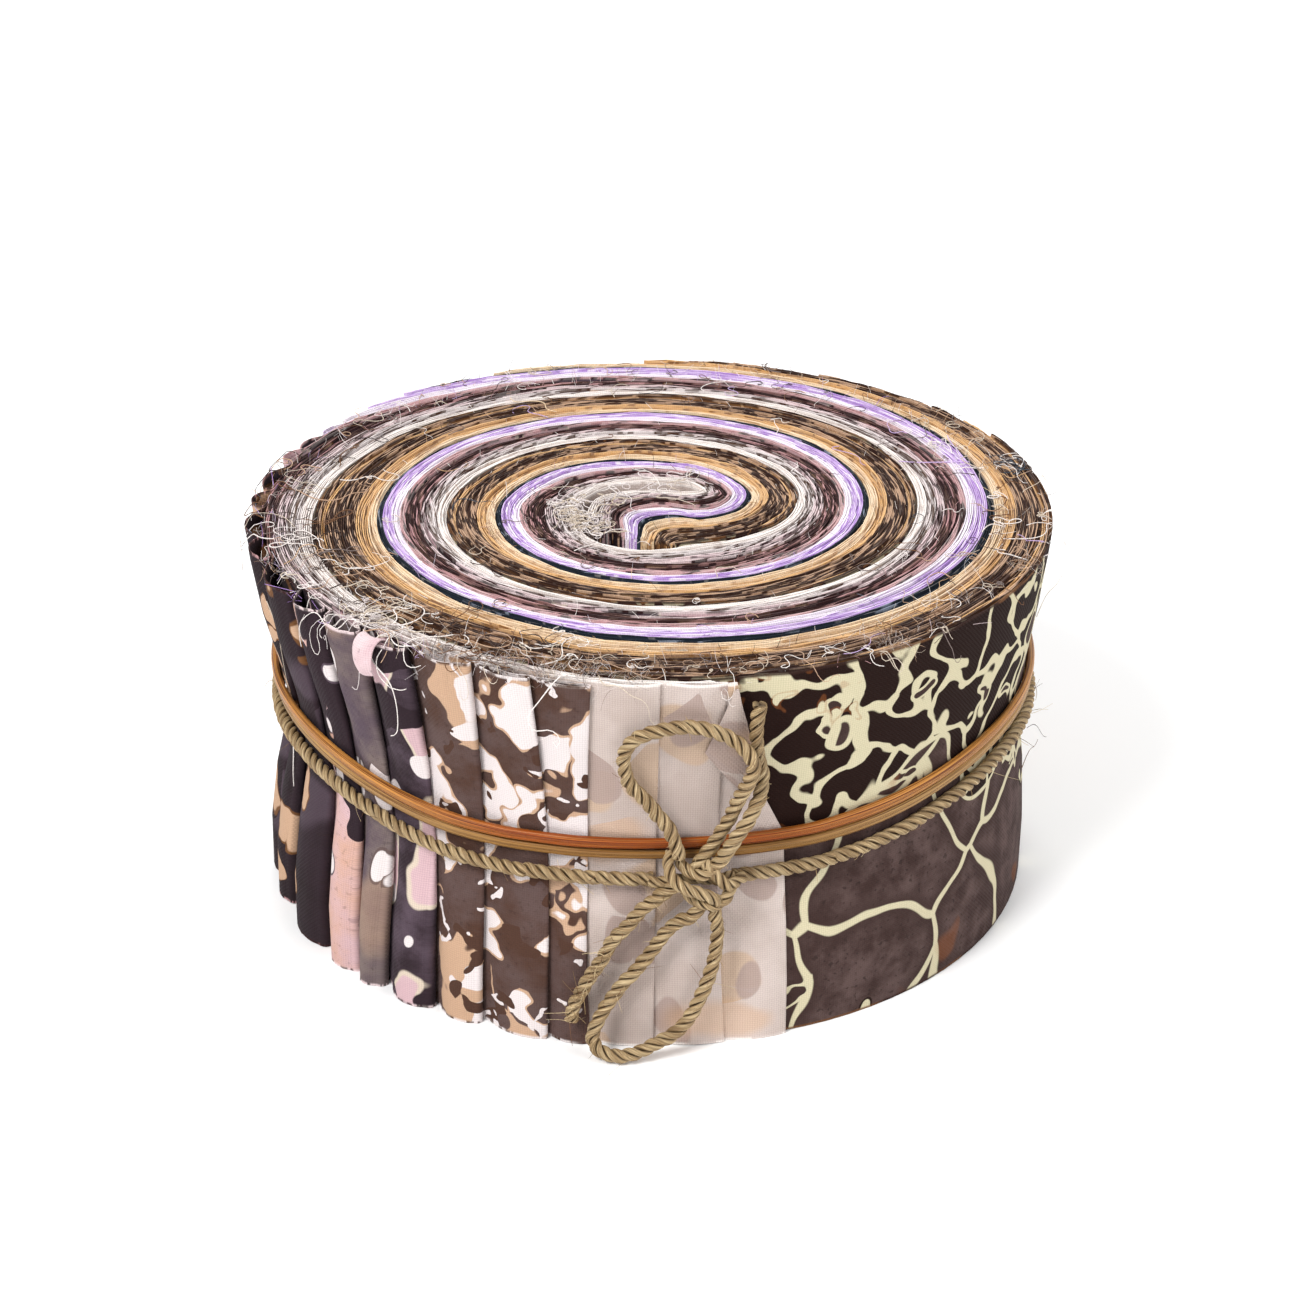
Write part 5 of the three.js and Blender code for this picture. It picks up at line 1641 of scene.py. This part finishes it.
class RollSizes(bpy.types.PropertyGroup):
    """Sizes of the cloth and of the grass cord."""

    cloth: bpy.props.FloatProperty(
        name="Cloth", description="Thickness of the strips' cloth",
        default=CLOTH * MM, min=0.00005, unit="LENGTH", subtype="DISTANCE")
    edge_wander: bpy.props.FloatProperty(
        name="Edge wander", description="How far the strips' upper cut edges rise and fall",
        default=EDGE_WANDER * MM, min=0.0, unit="LENGTH", subtype="DISTANCE")
    thread_pitch: bpy.props.FloatProperty(
        name="Thread pitch", description="Distance between two threads of the weave",
        default=THREAD_PITCH * MM, min=0.0001, unit="LENGTH", subtype="DISTANCE")
    cord_diameter: bpy.props.FloatProperty(
        name="Cord diameter", description="Thickness of the grass cord's loops and of its belt",
        default=CORD_DIAMETER * MM, min=0.0005, unit="LENGTH", subtype="DISTANCE")
    cord_lay: bpy.props.FloatProperty(
        name="Cord lay", description="Length of one turn of the grass cord's strands",
        default=CORD_LAY * MM, min=0.001, unit="LENGTH", subtype="DISTANCE")


class RollColours(bpy.types.PropertyGroup):
    """Colours of the prints, threads, cane and cord."""

    __annotations__ = {key: colour_property(key) for key in COLOURS}


class RollOperator:
    """What the roll's operators share."""

    bl_options = {"REGISTER", "UNDO"}

    @staticmethod
    def settings(context):
        """The sizes and the colours that the panel shows."""
        return context.scene.roll_sizes, context.scene.roll_colours


class ROLL_OT_stage(RollOperator, bpy.types.Operator):
    """Set the camera, the floor and the lamps"""

    bl_idname = "roll.stage"
    bl_label = "Stage"

    def execute(self, context):
        make_camera(context.scene)
        make_floor(context.scene)
        make_lights(context.scene)
        return {"FINISHED"}


class ROLL_OT_shaders(RollOperator, bpy.types.Operator):
    """Build the shader groups for weave, prints, dye, cut edges and fibres"""

    bl_idname = "roll.shaders"
    bl_label = "Shader groups"

    def execute(self, context):
        for build in (weave_group, print_group, edge_group, mottle_group, fibre_group):
            build()
        return {"FINISHED"}


class ROLL_OT_bow(RollOperator, bpy.types.Operator):
    """Lay the bow's two loops and two free ends"""

    bl_idname = "roll.bow"
    bl_label = "Bow"

    def execute(self, context):
        sizes, colours = self.settings(context)
        material = cord_material(colours)
        for name, route, seed, far_end in BOW_CORDS:
            make_bow_cord(name, route, seed, sizes, material)
        return {"FINISHED"}


class ROLL_OT_belt(RollOperator, bpy.types.Operator):
    """Lay the cord round the waist and tie its knot"""

    bl_idname = "roll.belt"
    bl_label = "Belt and knot"

    def execute(self, context):
        sizes, _ = self.settings(context)
        material = bpy.data.materials["twisted_grass"]
        lay = millimetres(sizes.cord_lay)
        diameter = millimetres(sizes.cord_diameter)
        path = belt_path(BELT["steps"], diameter)
        points, faces, uv, shades = twisted_cord(path, diameter, lay, 1)
        belt = new_piece("cord_round_waist", points, faces, material, uv, shades)
        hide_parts("cord_belt")
        knot = make_knot(lay, material)
        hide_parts("bow_knot")
        return {"FINISHED"}


class ROLL_OT_cane(RollOperator, bpy.types.Operator):
    """Bend the two strands of split cane round the waist"""

    bl_idname = "roll.cane"
    bl_label = "Cane"

    def execute(self, context):
        _, colours = self.settings(context)
        orange = cane_material(
            "split_cane_orange", colours, ("cane_deep", "cane_orange", "cane_bright"), 0.35)
        olive = cane_material(
            "split_cane_olive", colours, ("olive_deep", "olive", "olive_bright"), 0.45)
        make_cane("cane_upper", CANES["cane_upper"], 1, orange)
        make_cane("cane_lower", CANES["cane_lower"], 2, olive)
        return {"FINISHED"}


class ROLL_OT_strips(RollOperator, bpy.types.Operator):
    """Fold and wind the forty printed strips"""

    bl_idname = "roll.strips"
    bl_label = "Strips"

    def execute(self, context):
        sizes, colours = self.settings(context)
        materials = {
            name: print_material(name, spec, colours, sizes) for name, spec in PRINTS.items()}
        for strip, name in enumerate(STRIP_PRINTS):
            piece = make_strip(strip, materials[name], materials["pink_back"], sizes)
        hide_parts("cream_end")
        return {"FINISHED"}


class ROLL_OT_threads(RollOperator, bpy.types.Operator):
    """Pull frays and loose threads from the cut edges, and fibres from the cord"""

    bl_idname = "roll.threads"
    bl_label = "Threads"

    def execute(self, context):
        _, colours = self.settings(context)
        material = thread_material()
        make_frays(colours, material)
        make_threads(colours, material)
        make_lint(colours, material)
        make_cord_fibres(colours, material)
        return {"FINISHED"}


STEPS = (
    ROLL_OT_stage, ROLL_OT_shaders, ROLL_OT_bow, ROLL_OT_belt, ROLL_OT_cane, ROLL_OT_strips,
    ROLL_OT_threads,
)


class ROLL_PT_panel(bpy.types.Panel):
    """Lists the roll's sizes, colours and steps"""

    bl_idname = "ROLL_PT_panel"
    bl_label = "Jelly roll"
    bl_space_type = "VIEW_3D"
    bl_region_type = "UI"
    bl_category = "Jelly roll"

    def draw(self, context):
        sizes, colours = context.scene.roll_sizes, context.scene.roll_colours
        for key in RollSizes.__annotations__:
            self.layout.prop(sizes, key)
        for key in COLOURS:
            self.layout.prop(colours, key)
        for step in STEPS:
            self.layout.operator(step.bl_idname)


CLASSES = (RollSizes, RollColours, *STEPS, ROLL_PT_panel)


def register():
    """Adds the roll's classes, sizes and colours to Blender."""
    for kind in CLASSES:
        bpy.utils.register_class(kind)
    bpy.types.Scene.roll_sizes = bpy.props.PointerProperty(type=RollSizes)
    bpy.types.Scene.roll_colours = bpy.props.PointerProperty(type=RollColours)


def unregister():
    """Takes them out again."""
    del bpy.types.Scene.roll_colours
    del bpy.types.Scene.roll_sizes
    for kind in reversed(CLASSES):
        bpy.utils.unregister_class(kind)


def main():
    """Registers the add-on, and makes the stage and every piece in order."""
    register()
    for step in STEPS:
        group, name = step.bl_idname.split(".")
        getattr(getattr(bpy.ops, group), name)()


if __name__ == "__main__":
    main()
